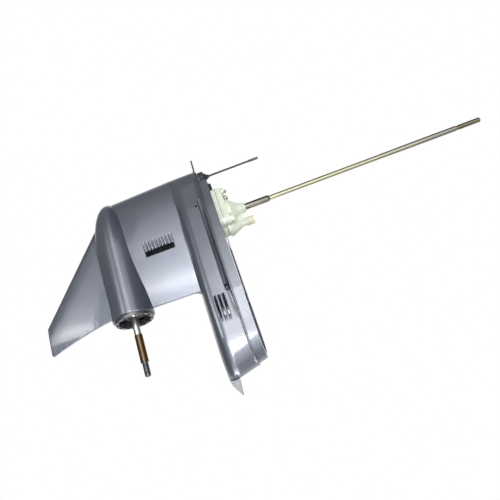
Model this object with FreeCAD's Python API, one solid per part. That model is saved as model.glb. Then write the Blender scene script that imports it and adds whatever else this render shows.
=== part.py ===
import FreeCAD, Part
import math
import os

# Outboard lower unit: gearcase, drive train, shift linkage and water pump.
# Lengths are millimetres. X runs aft from the driveshaft axis, Y to starboard and Z up from the
# mating face. The finished pieces are moved along X so that the origin is the centre of the
# rectangle of casing bolts, on the mating face.

V = FreeCAD.Vector
AXIS_X = V(1, 0, 0)
AXIS_Y = V(0, 1, 0)
AXIS_Z = V(0, 0, 1)

# Gearcase casting
PROP_AXIS_Z = -287.0
BULLET_RADIUS = 54.0
BULLET_NOSE_X = -152.0
BULLET_NOSE_LENGTH = 150.0
BULLET_AFT_X = 190.0
BULLET_LIP = 2.0
STRUT_TOP_NOSE_X = -157.0
STRUT_FOOT_NOSE_X = -148.0
STRUT_TOP_TAIL_X = 183.0
STRUT_FOOT_TAIL_X = 178.5
STRUT_HALF_WIDTH = 38.0
STRUT_TAIL_HALF_WIDTH = 2.2
STRUT_FULLEST = 0.42
STRUT_FILLET = 25.0
SKEG_ROOT_Z = -300.0
SKEG_MID_Z = -435.0
SKEG_TIP_Z = -511.0
SKEG_ROOT_NOSE_X = -135.0
SKEG_TIP_NOSE_X = 134.5
SKEG_ROOT_TAIL_X = 168.0
SKEG_MID_TAIL_X = 191.0
SKEG_TIP_TAIL_X = 213.5
SKEG_ROOT_THICKNESS = 20.0
SKEG_TIP_THICKNESS = 6.0
SKEG_CORNER = 9.0
BOX_HALF_WIDTH = 65.0
BOX_FLARE_START_X = -75.0
BOX_FLARE_END_X = 215.0
BOX_ROUND_TOP_Z = -83.0
BOX_ROUND_START_X = -72.0
BOX_ROUND_FULL_X = -12.0
BOX_ROUND_INSET = 21.0
PLATE_UNDER_Z = -100.0
BOX_AFT_X = 427.0
BOX_AFT_SLANT = 26.3
TAIL_START_X = 335.0
TAIL_ROUND_SHARE = 0.45
LIP_TOP_Z = -23.0
LIP_THICKNESS = 4.0
LIP_OVERHANG = 8.0
LIP_AFT_OVERHANG = 1.5
LIP_HORN_X = -198.0
RIM_INSET = 3.0
FLARE_BACK_X = -125.0
FLARE_HALF_WIDTH = 18.0
FLARE_LOW_Z = -50.0
FLARE_REACH = 12.0
DECK_FRONT_X = -108.0
DECK_STEP_X = 70.0
DECK_DROP = 0.8
DECK_RIM_WIDTH = 2.5
BOOT_SEAT_Z = -21.0
GROOVE_FRONT_X = -46.0
GROOVE_AFT_X = 229.0
GROOVE_HEIGHT = 12.0
GROOVE_DEPTH = 17.0
GROOVE_INNER_HALF_WIDTH = 39.0

# Casing bolts that hold the unit to the leg above
BOLT_FRONT_X = 82.0
BOLT_REAR_X = 215.0
BOLT_HALF_SPACING = 50.0
CASING_BOLT_HOLE_RADIUS = 5.25
CASING_BOSS_RADIUS = 8.5
CASING_BOSS_DROP = 3.0
CASING_POCKET_RADIUS = 10.0
SIDE_HOLE_X = -29.0
SIDE_HOLE_Z = -45.0
SIDE_HOLE_RADIUS = 3.5
SIDE_HOLE_DEPTH = 8.0

# Exhaust cavity, exhaust passage, slots and water inlets
CAVITY_FRONT_X = 92.0
CAVITY_AFT_X = 386.0
CAVITY_FLOOR_Z = -82.0
CAVITY_HALF_WIDTH = 36.0
CAVITY_AFT_HALF_WIDTH = 54.0
CAVITY_STEP_X = 242.0
CAVITY_CORNER = 10.0
PASSAGE_FRONT_X = 92.0
PASSAGE_AFT_X = 142.0
PASSAGE_HALF_WIDTH = 14.0
SLOT_COUNT = 3
SLOT_FRONT_X = 231.0
SLOT_AFT_X = 286.0
SLOT_TOP_Z = -48.5
SLOT_PITCH = 10.4
SLOT_HEIGHT = 5.2
SLOT_RAMP_LENGTH = 20.0
SLOT_RAMP_DEPTH = 2.4
INLET_FRONT_X = 39.0
INLET_AFT_X = 56.0
INLET_TOP_Z = -131.0
INLET_BOTTOM_Z = -209.0
INLET_RIB_COUNT = 8
INLET_RIB_THICKNESS = 4.2
INLET_RAMP_FRONT_X = 12.0
INLET_RAMP_DEPTH = 8.0
INLET_CORNER = 3.0
SCREEN_THICKNESS = 2.5
SCREEN_CLEARANCE = 0.1
SCREEN_DEPTH = 12.0
SCREEN_BARS = 9
SCREEN_BAR_GAP = 5.0

# Bevel gears
GEAR_MODULE = 3.4
PINION_TEETH = 13
GEAR_TEETH = 26
GEAR_FACE_WIDTH = 14.0
TOOTH_ADDENDUM = 0.72
TOOTH_DEDENDUM = 1.0
TOOTH_THICKNESS_SHARE = 0.36
TOOTH_FLANK_ANGLE = 22.0
GEAR_BACKING = 13.0
PINION_BACKING = 6.0
GEAR_HUB_RADIUS = 20.0
GEAR_OUTER_RADIUS = 47.2
GEAR_WEB_X = 20.0

# Dog clutch
JAW_COUNT = 4
JAW_ANGLE = 20.0
JAW_HEIGHT = 5.0
JAW_OUTER_RADIUS = 22.0
JAW_INNER_RADIUS = 15.5
DOG_HALF_LENGTH = 12.0
DOG_KEYS = 6
SHIFT_TRAVEL = 6.2
CROSS_PIN_RADIUS = 3.0
PIN_SPRING_RADIUS = 1.2
PLUNGER_RADIUS = 5.0
PLUNGER_HEAD_RADIUS = 6.0
PLUNGER_HEAD_LENGTH = 4.0
PLUNGER_NECK_RADIUS = 3.5
PLUNGER_NECK_LENGTH = 12.0

# Propeller shaft
PROPSHAFT_RADIUS = 12.0
PROPSHAFT_FRONT_X = -70.0
PROPSHAFT_STEP_X = 187.0
PROPSHAFT_TAIL_RADIUS = 9.0
PROP_SPLINE_START_X = 235.0
PROP_SPLINE_LENGTH = 72.0
PROP_SPLINE_RADIUS = 10.0
PROP_SPLINE_TEETH = 15
PROP_THREAD_LENGTH = 35.0
PROP_THREAD_RADIUS = 7.25
SPLINE_GROOVE_DEPTH = 1.2
SPLINE_GROOVE_WIDTH = 0.9

# Driveshaft
DRIVESHAFT_RADIUS = 11.0
DRIVESHAFT_PUMP_RADIUS = 8.75
DRIVESHAFT_STEP_Z = -2.0
DRIVESHAFT_THICK_TOP_Z = 137.0
DRIVESHAFT_THIN_RADIUS = 6.1
DRIVESHAFT_TAPER_START_Z = 420.0
DRIVESHAFT_UPPER_RADIUS = 6.9
DRIVESHAFT_RING_Z = 663.0
DRIVESHAFT_NECK_RADIUS = 5.7
DRIVESHAFT_NECK_LENGTH = 7.0
DRIVESHAFT_SPLINE_RADIUS = 6.5
DRIVESHAFT_SPLINE_TEETH = 10
DRIVESHAFT_SPLINE_LENGTH = 60.0
PINION_SEAT_RADIUS = 9.5
PINION_THREAD_RADIUS = 7.5
PINION_NUT_FLATS = 20.0
PINION_NUT_HEIGHT = 6.0

# Bearings and seals
RUNNING_CLEARANCE = 0.05
SEAT_CLEARANCE = 0.05
FORWARD_CUP_RADIUS = 36.0
FORWARD_BEARING_WIDTH = 21.0
FORWARD_ROLLERS = 14
REVERSE_CUP_RADIUS = 36.0
REVERSE_BEARING_WIDTH = 16.0
REVERSE_BALLS = 10
UPPER_CUP_RADIUS = 25.0
UPPER_BEARING_WIDTH = 20.0
UPPER_BEARING_TOP_Z = -48.0
UPPER_ROLLERS = 12
BEARING_RING = 4.0
NEEDLE_WALL = 5.0
DRIVESHAFT_NEEDLE_LENGTH = 30.0
PROPSHAFT_NEEDLE_LENGTH = 26.0
SEAL_THICKNESS = 6.0
SEAL_WALL = 6.0
SEAL_HOUSING_RADIUS = 29.0
SEAL_FLANGE_RADIUS = 36.0
SEAL_FLANGE = 5.0

# Bearing carrier and its ring nut
CASE_BORE_RADIUS = 48.0
CARRIER_FRONT_GAP = 1.5
CARRIER_COLLAR_LENGTH = 26.0
CARRIER_HUB_RADIUS = 22.5
CARRIER_RING_WALL = 5.0
CARRIER_RING_LENGTH = 16.0
CARRIER_RING_AFT_X = 184.0
CARRIER_SPOKES = 8
CARRIER_SPOKE_THICKNESS = 5.0
CARRIER_ORING_RADIUS = 1.6
RING_NUT_LENGTH = 12.0
RING_NUT_WALL = 7.5
RING_NUT_NOTCHES = 12
RING_NUT_NOTCH_WIDTH = 7.5
RING_NUT_NOTCH_DEPTH = 4.5
TAB_WASHER_THICKNESS = 1.5

# Shift linkage
SHIFT_ROD_X = -130.0
SHIFT_ROD_LOWER_RADIUS = 4.0
SHIFT_ROD_RADIUS = 2.6
SHIFT_ROD_END_RADIUS = 3.4
SHIFT_ROD_END_START_Z = 126.0
SHIFT_ROD_END_LENGTH = 26.0
SHIFT_CRANK_RADIUS = 10.0
SHIFT_CRANK_HUB_RADIUS = 6.5
SHIFT_CRANK_THICKNESS = 5.0
SHIFT_CRANK_PIN_RADIUS = 2.2
SHIFT_CRANK_BASE = 2.0
SHIFT_CHAMBER_RADIUS = 18.5
SHIFT_CHAMBER_NOSE_X = -142.0
SHIFT_CHAMBER_NOSE_RADIUS = 14.8
SHIFT_CHAMBER_TAPER = 8.0
SHIFT_SLOT_CLEARANCE = 0.35
SHIFT_BUSH_RADIUS = 9.0
SHIFT_BUSH_LENGTH = 16.0
SLIDER_REAR_X = -86.0
SLIDER_FRONT_X = -134.5
SLIDER_BLOCK_LENGTH = 17.0
SLIDER_BLOCK_HALF = 10.0
SLIDER_PLATE_DROP = 7.0
SLIDER_CLEARANCE = 0.3
BOOT_LENGTH = 34.0
BOOT_WIDTH = 34.0
BOOT_HEIGHT = 20.0
BOOT_CONE_TOP_Z = 9.0
RETAINER_THICKNESS = 2.5
DECK_PAD_X = -91.0
DECK_PAD_LENGTH = 24.0
DECK_PAD_WIDTH = 18.0
DECK_PAD_CORNER = 4.0
DECK_PAD_HEIGHT = 6.0

# Water pump
PUMP_BASE_THICKNESS = 10.0
GASKET_THICKNESS = 0.8
WEAR_PLATE_THICKNESS = 1.4
PUMP_BODY_TOP_Z = 34.0
PUMP_FRONT_BOLT_X = -58.0
PUMP_FRONT_BOLT_HALF = 19.0
PUMP_REAR_BOLT_X = 34.0
PUMP_REAR_BOLT_HALF = 32.0
PUMP_CORNER_RADIUS = 12.5
PUMP_BOLT_RADIUS = 4.0
PUMP_BOLT_HOLE_RADIUS = 4.5
PUMP_BOLT_FLATS = 13.0
PUMP_BOLT_HEAD = 5.3
PUMP_BOLT_GRIP = 16.0
PUMP_CONE_BASE_RADIUS = 32.0
PUMP_CONE_TOP_RADIUS = 12.0
PUMP_CONE_TOP_Z = 73.0
PUMP_CUP_RADIUS = 29.0
PUMP_CUP_WALL = 1.2
IMPELLER_HEIGHT = 18.0
IMPELLER_RADIUS = 27.0
IMPELLER_HUB_RADIUS = 13.5
IMPELLER_VANES = 6
IMPELLER_VANE_THICKNESS = 3.0
IMPELLER_KEY_WIDTH = 3.0
IMPELLER_KEY_HEIGHT = 10.0
OUTLET_X = 43.0
OUTLET_RADIUS = 9.0
SUMP_RADIUS = 23.0
OUTLET_BORE_RADIUS = 6.0
OUTLET_TOP_Z = 74.0
GROMMET_WALL = 2.2
GROMMET_OVERLAP = 12.0
GROMMET_TOP_Z = 84.0
GROMMET_BORE_RADIUS = 7.0

# Small fittings
PLUG_RADIUS = 5.0
PLUG_HEAD_RADIUS = 8.0
PLUG_HEAD_HEIGHT = 4.0
PLUG_LENGTH = 9.0
PLUG_RECESS_REACH = 30.0
PLUG_GASKET_THICKNESS = 1.5
DRAIN_PLUG_X = -58.0
DRAIN_PLUG_Z = -305.0
LEVEL_PLUG_X = 4.0
LEVEL_PLUG_Z = -170.0
TAB_FRONT_X = 380.0
TAB_ROOT_AFT_X = 412.0
TAB_HEEL_X = 436.0
TAB_HEEL_Z = -98.0
TAB_TIP_X = 461.0
TAB_TIP_Z = -82.0
TAB_TOP_Z = -78.0
TAB_DROP = 2.5
TAB_GAP = 0.9
TAB_THICKNESS = 9.0
TAB_ROOT_WIDTH = 26.0
TAB_ROOT_HEIGHT = 8.0
TAB_BOLT_RADIUS = 4.0

# Worked out from the sizes above
ORIGIN_X = (BOLT_FRONT_X + BOLT_REAR_X) / 2
GEAR_PITCH_RADIUS = GEAR_MODULE * GEAR_TEETH / 2
PINION_PITCH_RADIUS = GEAR_MODULE * PINION_TEETH / 2
CONE_DISTANCE = math.hypot(GEAR_PITCH_RADIUS, PINION_PITCH_RADIUS)
TOE_SHARE = 1 - GEAR_FACE_WIDTH / CONE_DISTANCE
GEAR_BACK_X = PINION_PITCH_RADIUS + GEAR_BACKING
FORWARD_BEARING_REAR_X = -(GEAR_BACK_X + CARRIER_FRONT_GAP)
FORWARD_BEARING_FRONT_X = FORWARD_BEARING_REAR_X - FORWARD_BEARING_WIDTH
CARRIER_FRONT_X = GEAR_BACK_X + CARRIER_FRONT_GAP
PINION_BACK_Z = PROP_AXIS_Z + GEAR_PITCH_RADIUS + PINION_BACKING
PINION_TOE_Z = PROP_AXIS_Z + GEAR_PITCH_RADIUS * TOE_SHARE
NEEDLE_LOW_Z = PINION_BACK_Z + 4
LIP_UNDER_Z = LIP_TOP_Z - LIP_THICKNESS
PROP_SPLINE_END_X = PROP_SPLINE_START_X + PROP_SPLINE_LENGTH
PROP_THREAD_END_X = PROP_SPLINE_END_X + PROP_THREAD_LENGTH
DRIVESHAFT_TIP_Z = DRIVESHAFT_RING_Z + DRIVESHAFT_NECK_LENGTH + DRIVESHAFT_SPLINE_LENGTH
SHIFT_ROD_TIP_Z = SHIFT_ROD_END_START_Z + SHIFT_ROD_END_LENGTH
PUMP_BASE_Z = GASKET_THICKNESS - DECK_DROP
WEAR_PLATE_Z = PUMP_BASE_Z + PUMP_BASE_THICKNESS + GASKET_THICKNESS
PUMP_BODY_Z = WEAR_PLATE_Z + WEAR_PLATE_THICKNESS + GASKET_THICKNESS
CUP_TOP_Z = PUMP_BODY_Z + IMPELLER_HEIGHT + 1 + PUMP_CUP_WALL
PUMP_BOLTS = [(PUMP_FRONT_BOLT_X, -PUMP_FRONT_BOLT_HALF), (PUMP_REAR_BOLT_X, -PUMP_REAR_BOLT_HALF),
              (PUMP_REAR_BOLT_X, PUMP_REAR_BOLT_HALF), (PUMP_FRONT_BOLT_X, PUMP_FRONT_BOLT_HALF)]
CASING_BOLTS = [(x, side * BOLT_HALF_SPACING) for x in (BOLT_FRONT_X, BOLT_REAR_X) for side in (-1, 1)]


def tube_z(outer, z_low, z_high, inner=0.0, x=0.0, y=0.0):
    """Cylinder or tube that stands along Z."""
    body = Part.makeCylinder(outer, z_high - z_low, V(x, y, z_low), AXIS_Z)
    if inner:
        body = body.cut(Part.makeCylinder(inner, z_high - z_low, V(x, y, z_low), AXIS_Z))
    return body


def tube_x(outer, x_low, x_high, inner=0.0):
    """Cylinder or tube on the propeller shaft axis."""
    start = V(x_low, 0, PROP_AXIS_Z)
    body = Part.makeCylinder(outer, x_high - x_low, start, AXIS_X)
    if inner:
        body = body.cut(Part.makeCylinder(inner, x_high - x_low, start, AXIS_X))
    return body


def turned_z(profile):
    """Solid turned about the driveshaft axis from (radius, z) corners."""
    wire = Part.makePolygon([V(r, 0, z) for r, z in profile + profile[:1]])
    return Part.Face(wire).revolve(V(0, 0, 0), AXIS_Z, 360)


def turned_x(profile):
    """Solid turned about the propeller shaft axis from (x, radius) corners."""
    wire = Part.makePolygon([V(x, 0, PROP_AXIS_Z + r) for x, r in profile + profile[:1]])
    return Part.Face(wire).revolve(V(0, 0, PROP_AXIS_Z), AXIS_X, 360)


def block(x_low, x_high, y_low, y_high, z_low, z_high):
    """Box between two corners."""
    return Part.makeBox(x_high - x_low, y_high - y_low, z_high - z_low, V(x_low, y_low, z_low))


def prism(points, direction):
    """Prism from a closed outline of corners, pushed along a direction."""
    return Part.Face(Part.makePolygon(points + points[:1])).extrude(direction)


def both_sides(shape):
    """The shape and its mirror image across the centre plane."""
    return [shape, shape.mirror(V(0, 0, 0), AXIS_Y)]


def ring_of(shape, count, centre, axis, start=0.0):
    """Copies of the shape spread evenly around an axis."""
    return [shape.rotated(centre, axis, start + 360.0 * i / count) for i in range(count)]


def joined(shapes):
    """One solid from pieces that touch or overlap."""
    return shapes[0].fuse(shapes[1:]).removeSplitter()


def hexagon(flats, height, x, y, z):
    """Hexagonal prism that stands along Z."""
    corner = flats / math.sqrt(3)
    turns = [math.radians(60 * i) for i in range(6)]
    return prism([V(x + corner * math.cos(t), y + corner * math.sin(t), z) for t in turns], V(0, 0, height))


def rounded_plate(points, radius, z_low, z_high):
    """Plate whose outline runs round each point at the given radius."""
    wire = Part.makePolygon([V(x, y, z_low) for x, y in points + points[:1]])
    return Part.Face(wire).makeOffset2D(radius).extrude(V(0, 0, z_high - z_low))


def slot_prism(x_low, x_high, radius, z_low, z_high):
    """Prism with rounded ends that runs fore and aft on the centre plane."""
    body = block(x_low + radius, x_high - radius, -radius, radius, z_low, z_high)
    ends = [tube_z(radius, z_low, z_high, x=x) for x in (x_low + radius, x_high - radius)]
    return joined([body] + ends)


def spline_grooves(radius, teeth, start, length, direction):
    """Narrow grooves along a shaft that leave the lands of a spline."""
    depth = SPLINE_GROOVE_DEPTH
    if direction == AXIS_Z:
        cutter = block(radius - depth, radius + 1, -SPLINE_GROOVE_WIDTH / 2, SPLINE_GROOVE_WIDTH / 2,
                       start, start + length)
        return ring_of(cutter, teeth, V(0, 0, 0), AXIS_Z)
    cutter = block(start, start + length, -SPLINE_GROOVE_WIDTH / 2, SPLINE_GROOVE_WIDTH / 2,
                   PROP_AXIS_Z + radius - depth, PROP_AXIS_Z + radius + 1)
    return ring_of(cutter, teeth, V(0, 0, PROP_AXIS_Z), AXIS_X)


def blend(value, start, end):
    """Smooth step from 0 at start to 1 at end."""
    share = min(max((value - start) / (end - start), 0.0), 1.0)
    return share * share * (3 - 2 * share)


def foil_half_width(share, half_width, tail_half_width):
    """Half width of a foil at a share of its chord, from the nose."""
    if share < STRUT_FULLEST:
        return half_width * (1 - (1 - share / STRUT_FULLEST) ** 2) ** 0.5
    fall = ((share - STRUT_FULLEST) / (1 - STRUT_FULLEST)) ** 2.1
    return half_width - (half_width - tail_half_width) * fall


def closed_outline(nose, side):
    """Symmetric outline: a smooth curve round the nose, closed by a straight edge aft."""
    points = side[::-1] + [nose] + [V(p.x, -p.y, p.z) for p in side]
    curve = Part.BSplineCurve()
    curve.interpolate(points)
    return Part.Wire([curve.toShape(), Part.makeLine(points[-1], points[0])])


def foil_wire(nose_x, tail_x, half_width, tail_half_width, z):
    """Closed outline of a foil in a level plane."""
    stations = 9
    side = []
    for i in range(1, stations + 1):
        share = (1 - math.cos(math.pi * i / stations)) / 2
        side.append(V(nose_x + share * (tail_x - nose_x),
                      foil_half_width(share, half_width, tail_half_width), z))
    return closed_outline(V(nose_x, 0, z), side)


def box_half_width(x):
    """Half width of the upper box, which leaves the strut and flares out going aft."""
    share = max((x - STRUT_TOP_NOSE_X) / (STRUT_TOP_TAIL_X - STRUT_TOP_NOSE_X), 0.0)
    strut_side = foil_half_width(min(share, STRUT_FULLEST), STRUT_HALF_WIDTH, STRUT_TAIL_HALF_WIDTH)
    along = min(max((x - BOX_FLARE_START_X) / (BOX_FLARE_END_X - BOX_FLARE_START_X), 0.0), 1.0)
    return strut_side + (BOX_HALF_WIDTH - STRUT_HALF_WIDTH) * math.sin(math.pi / 2 * along)


def tail_x(z):
    """Aft end of the upper casting at a height, on its slanted end."""
    return BOX_AFT_X - BOX_AFT_SLANT * (PLATE_UNDER_Z - z) / PLATE_UNDER_Z


def tail_curve(start_x, end_x, half_width, z):
    """Half ellipse round the aft end, from port to starboard."""
    steps = 8
    points = []
    for i in range(steps + 1):
        turn = math.pi * i / steps
        points.append(V(start_x + (end_x - start_x) * math.sin(turn), -half_width * math.cos(turn), z))
    curve = Part.BSplineCurve()
    curve.interpolate(Points=points, InitialTangent=AXIS_X, FinalTangent=-AXIS_X)
    return curve.toShape()


def plan_wire(nose_x, z, half_width_at, tail_inset=0.0):
    """Closed outline of the upper casting in a level plane: nose curve, straight sides and rounded tail."""
    stations = 11
    side = []
    for i in range(1, stations + 1):
        x = nose_x + (BOX_FLARE_END_X - nose_x) * (i / stations) ** 1.8
        side.append(V(x, half_width_at(x), z))
    width = side[-1].y
    curve = Part.BSplineCurve()
    curve.interpolate(Points=side[::-1] + [V(nose_x, 0, z)] + [V(p.x, -p.y, z) for p in side],
                      InitialTangent=-AXIS_X, FinalTangent=AXIS_X)
    port = Part.makeLine(V(BOX_FLARE_END_X, -width, z), V(TAIL_START_X, -width, z))
    starboard = Part.makeLine(V(TAIL_START_X, width, z), V(BOX_FLARE_END_X, width, z))
    return Part.Wire([curve.toShape(), port, tail_curve(TAIL_START_X, tail_x(z) - tail_inset, width, z),
                      starboard])


def strut():
    """Foil shaped strut, and the flare that joins it to the plate above."""
    foot_z = PROP_AXIS_Z - BULLET_RADIUS / 3

    def at(z, growth):
        share = (z - foot_z) / (PLATE_UNDER_Z - foot_z)
        nose_x = STRUT_FOOT_NOSE_X + share * (STRUT_TOP_NOSE_X - STRUT_FOOT_NOSE_X)
        tail_x = STRUT_FOOT_TAIL_X + share * (STRUT_TOP_TAIL_X - STRUT_FOOT_TAIL_X)
        return foil_wire(nose_x, tail_x + growth, STRUT_HALF_WIDTH + growth * 0.4,
                         STRUT_TAIL_HALF_WIDTH + growth, z)

    leg = Part.makeLoft([at(foot_z, 0.0), at(PLATE_UNDER_Z + 3, 0.0)], True, True)
    rings = []
    for angle in (0, 25, 50, 70):
        turn = math.radians(angle)
        z = PLATE_UNDER_Z - STRUT_FILLET * (1 - math.sin(turn))
        rings.append(at(z, STRUT_FILLET * (1 - math.cos(turn))))
    rings.append(at(PLATE_UNDER_Z + 1, STRUT_FILLET))
    return [leg, Part.makeLoft(rings, True, False)]


def bullet():
    """Torpedo shaped housing of the gears, with an elliptical nose."""
    join_x = BULLET_NOSE_X + BULLET_NOSE_LENGTH
    nose = Part.Ellipse(V(BULLET_NOSE_X, 0, PROP_AXIS_Z), V(join_x, 0, PROP_AXIS_Z + BULLET_RADIUS),
                        V(join_x, 0, PROP_AXIS_Z))
    tip = nose.value(0)
    top = nose.value(math.pi / 2)
    corners = [top, V(BULLET_AFT_X - BULLET_LIP, 0, top.z), V(BULLET_AFT_X, 0, top.z - BULLET_LIP),
               V(BULLET_AFT_X, 0, PROP_AXIS_Z), tip]
    edges = [nose.toShape(0, math.pi / 2)] + [Part.makeLine(a, b) for a, b in zip(corners, corners[1:])]
    return Part.Face(Part.Wire(edges)).revolve(V(0, 0, PROP_AXIS_Z), AXIS_X, 360)


def skeg():
    """Thin swept fin under the bullet, with rounded lower corners."""
    levels = [(SKEG_ROOT_Z, SKEG_ROOT_TAIL_X), (SKEG_MID_Z, SKEG_MID_TAIL_X), (SKEG_TIP_Z, SKEG_TIP_TAIL_X)]
    wires = []
    for z, tail_x in levels:
        share = (z - SKEG_ROOT_Z) / (SKEG_TIP_Z - SKEG_ROOT_Z)
        nose_x = SKEG_ROOT_NOSE_X + share * (SKEG_TIP_NOSE_X - SKEG_ROOT_NOSE_X)
        thickness = SKEG_ROOT_THICKNESS + share * (SKEG_TIP_THICKNESS - SKEG_ROOT_THICKNESS)
        wires.append(foil_wire(nose_x, tail_x, thickness / 2, thickness / 7, z))
    fin = Part.makeLoft(wires, True, False)
    corner = SKEG_CORNER
    outline = [V(SKEG_ROOT_NOSE_X - 2 * corner, 0, SKEG_ROOT_Z), V(SKEG_TIP_NOSE_X, 0, SKEG_TIP_Z + corner),
               V(SKEG_TIP_TAIL_X - corner, 0, SKEG_TIP_Z + corner),
               V(SKEG_TIP_TAIL_X - corner, 0, SKEG_ROOT_Z)]
    face = Part.Face(Part.makePolygon(outline + outline[:1])).makeOffset2D(corner)
    width = SKEG_ROOT_THICKNESS
    return fin.common(face.extrude(V(0, 2 * width, 0)).translated(V(0, -width, 0)))


def under_edge_inset(z):
    """How far the rounded lower edge of the box draws in at a height."""
    turn = math.asin(min(max((BOX_ROUND_TOP_Z - z) / (BOX_ROUND_TOP_Z - PLATE_UNDER_Z), 0.0), 1.0))
    return BOX_ROUND_INSET * (1 - math.cos(turn))


def rim_half_width(x):
    """Half width of the rim above the lip."""
    return box_half_width(x) - RIM_INSET


def lip_half_width(x):
    """Half width of the lip, which stands out less going aft and ends in a horn ahead of the strut."""
    reach = min((x - LIP_HORN_X) / (STRUT_TOP_NOSE_X - LIP_HORN_X), 1.0)
    beyond = LIP_OVERHANG - (LIP_OVERHANG - LIP_AFT_OVERHANG) * blend(x, BOX_FLARE_START_X, BOX_FLARE_END_X)
    return (box_half_width(max(x, STRUT_TOP_NOSE_X + 6)) + beyond) * reach


def nose_flare():
    """Concave flare of the strut's leading edge into the horn of the lip."""
    rings = []
    for angle in (0, 30, 50, 70, 90):
        turn = math.radians(angle)
        z = FLARE_LOW_Z + (LIP_UNDER_Z + 1 - FLARE_LOW_Z) * math.sin(turn)
        nose_x = STRUT_TOP_NOSE_X + 2 - FLARE_REACH * (1 - math.cos(turn))
        side = []
        for share in (0.06, 0.25, 0.6, 1.0):
            side.append(V(nose_x + share * (FLARE_BACK_X - nose_x), FLARE_HALF_WIDTH * share ** 0.5, z))
        rings.append(closed_outline(V(nose_x, 0, z), side))
    return Part.makeLoft(rings, True, False)


def upper_box():
    """Upper casting above the plate: flared walls, rounded lower edge, lip with its horn, and rim."""
    walls = [plan_wire(STRUT_TOP_NOSE_X, z, box_half_width) for z in (BOX_ROUND_TOP_Z, LIP_TOP_Z)]
    body = Part.makeLoft(walls, True, True)
    rings = []
    for angle in (0, 30, 60, 78, 90):
        z = BOX_ROUND_TOP_Z - (BOX_ROUND_TOP_Z - PLATE_UNDER_Z) * math.sin(math.radians(angle))
        inset = under_edge_inset(z)
        rings.append(plan_wire(STRUT_TOP_NOSE_X, z, lambda x, inset=inset: (
            box_half_width(x) - inset * blend(x, BOX_ROUND_START_X, BOX_ROUND_FULL_X)),
            inset * TAIL_ROUND_SHARE))
    rounded = Part.makeLoft(rings, True, False)
    lip_wires = [plan_wire(LIP_HORN_X, z, lip_half_width, -LIP_AFT_OVERHANG)
                 for z in (LIP_UNDER_Z, LIP_TOP_Z)]
    lip = Part.makeLoft(lip_wires, True, True)
    rim_wires = [plan_wire(STRUT_TOP_NOSE_X + RIM_INSET, z, rim_half_width, RIM_INSET)
                 for z in (LIP_TOP_Z, 0)]
    rim = Part.makeLoft(rim_wires, True, True)
    lowered_front = block(LIP_HORN_X, DECK_FRONT_X, -2 * BOX_HALF_WIDTH, 2 * BOX_HALF_WIDTH, BOOT_SEAT_Z, 1)
    return joined([body, rounded, lip, rim, nose_flare()]).cut([lowered_front, deck_pocket()])


def deck_pocket():
    """Shallow pocket in the deck that the pump's gasket lies in."""
    floor = Part.Face(plan_wire(STRUT_TOP_NOSE_X + RIM_INSET + DECK_RIM_WIDTH, -DECK_DROP,
                                lambda x: rim_half_width(x) - DECK_RIM_WIDTH, RIM_INSET + DECK_RIM_WIDTH))
    wide = 2 * BOX_HALF_WIDTH
    reach = block(DECK_FRONT_X + DECK_RIM_WIDTH, DECK_STEP_X, -wide, wide, -2 * DECK_DROP, 2)
    return floor.extrude(V(0, 0, DECK_DROP + 1)).common(reach)


def bolt_grooves():
    """Grooves under the lip where the casing bolts go in from below."""
    radius = GROOVE_HEIGHT / 2
    low = LIP_UNDER_Z - GROOVE_HEIGHT
    wide = 2 * BOX_HALF_WIDTH
    groove = block(GROOVE_FRONT_X + radius, GROOVE_AFT_X - radius, 0, wide, low, LIP_UNDER_Z)
    ends = [Part.makeCylinder(radius, wide, V(x, 0, LIP_UNDER_Z - radius), AXIS_Y)
            for x in (GROOVE_FRONT_X + radius, GROOVE_AFT_X - radius)]
    inner = Part.Face(plan_wire(STRUT_TOP_NOSE_X + GROOVE_DEPTH, low - 1,
                                lambda x: max(box_half_width(x) - GROOVE_DEPTH, GROOVE_INNER_HALF_WIDTH)))
    groove = joined([groove] + ends).cut(inner.extrude(V(0, 0, GROOVE_HEIGHT + 2)))
    pockets = [tube_z(CASING_POCKET_RADIUS, low, LIP_UNDER_Z, x=x, y=y) for x, y in CASING_BOLTS]
    return both_sides(groove) + pockets


def side_slots():
    """Level slots on each side into the exhaust cavity, with a shallow ramp behind each."""
    cuts = []
    radius = SLOT_HEIGHT / 2
    inside = CAVITY_HALF_WIDTH - 4
    wide = 2 * BOX_HALF_WIDTH
    for i in range(SLOT_COUNT):
        z = SLOT_TOP_Z - i * SLOT_PITCH
        slot = block(SLOT_FRONT_X + radius, SLOT_AFT_X - radius, inside, wide, z - radius, z + radius)
        ends = [Part.makeCylinder(radius, wide - inside, V(x, inside, z), AXIS_Y)
                for x in (SLOT_FRONT_X + radius, SLOT_AFT_X - radius)]
        wall = BOX_HALF_WIDTH
        ramp = prism([V(SLOT_AFT_X - radius, wall - SLOT_RAMP_DEPTH, z - radius),
                      V(SLOT_AFT_X - radius, wall + 1, z - radius),
                      V(SLOT_AFT_X + SLOT_RAMP_LENGTH, wall + 1, z - radius)], V(0, 0, SLOT_HEIGHT))
        cuts += both_sides(joined([slot] + ends)) + both_sides(ramp)
    return cuts


def inlet_prism(clearance, y_low, y_high):
    """Upright opening of the water inlet on the starboard side, with rounded corners."""
    body = block(INLET_FRONT_X + clearance, INLET_AFT_X - clearance, y_low, y_high,
                 INLET_BOTTOM_Z + clearance, INLET_TOP_Z - clearance)
    across = [e for e in body.Edges if abs(e.tangentAt(e.FirstParameter).y) > 0.9]
    return body.makeFillet(INLET_CORNER, across)


def inlet_gap():
    """Height of each gap between the inlet ribs."""
    return (INLET_TOP_Z - INLET_BOTTOM_Z - INLET_RIB_COUNT * INLET_RIB_THICKNESS) / (INLET_RIB_COUNT + 1)


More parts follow.
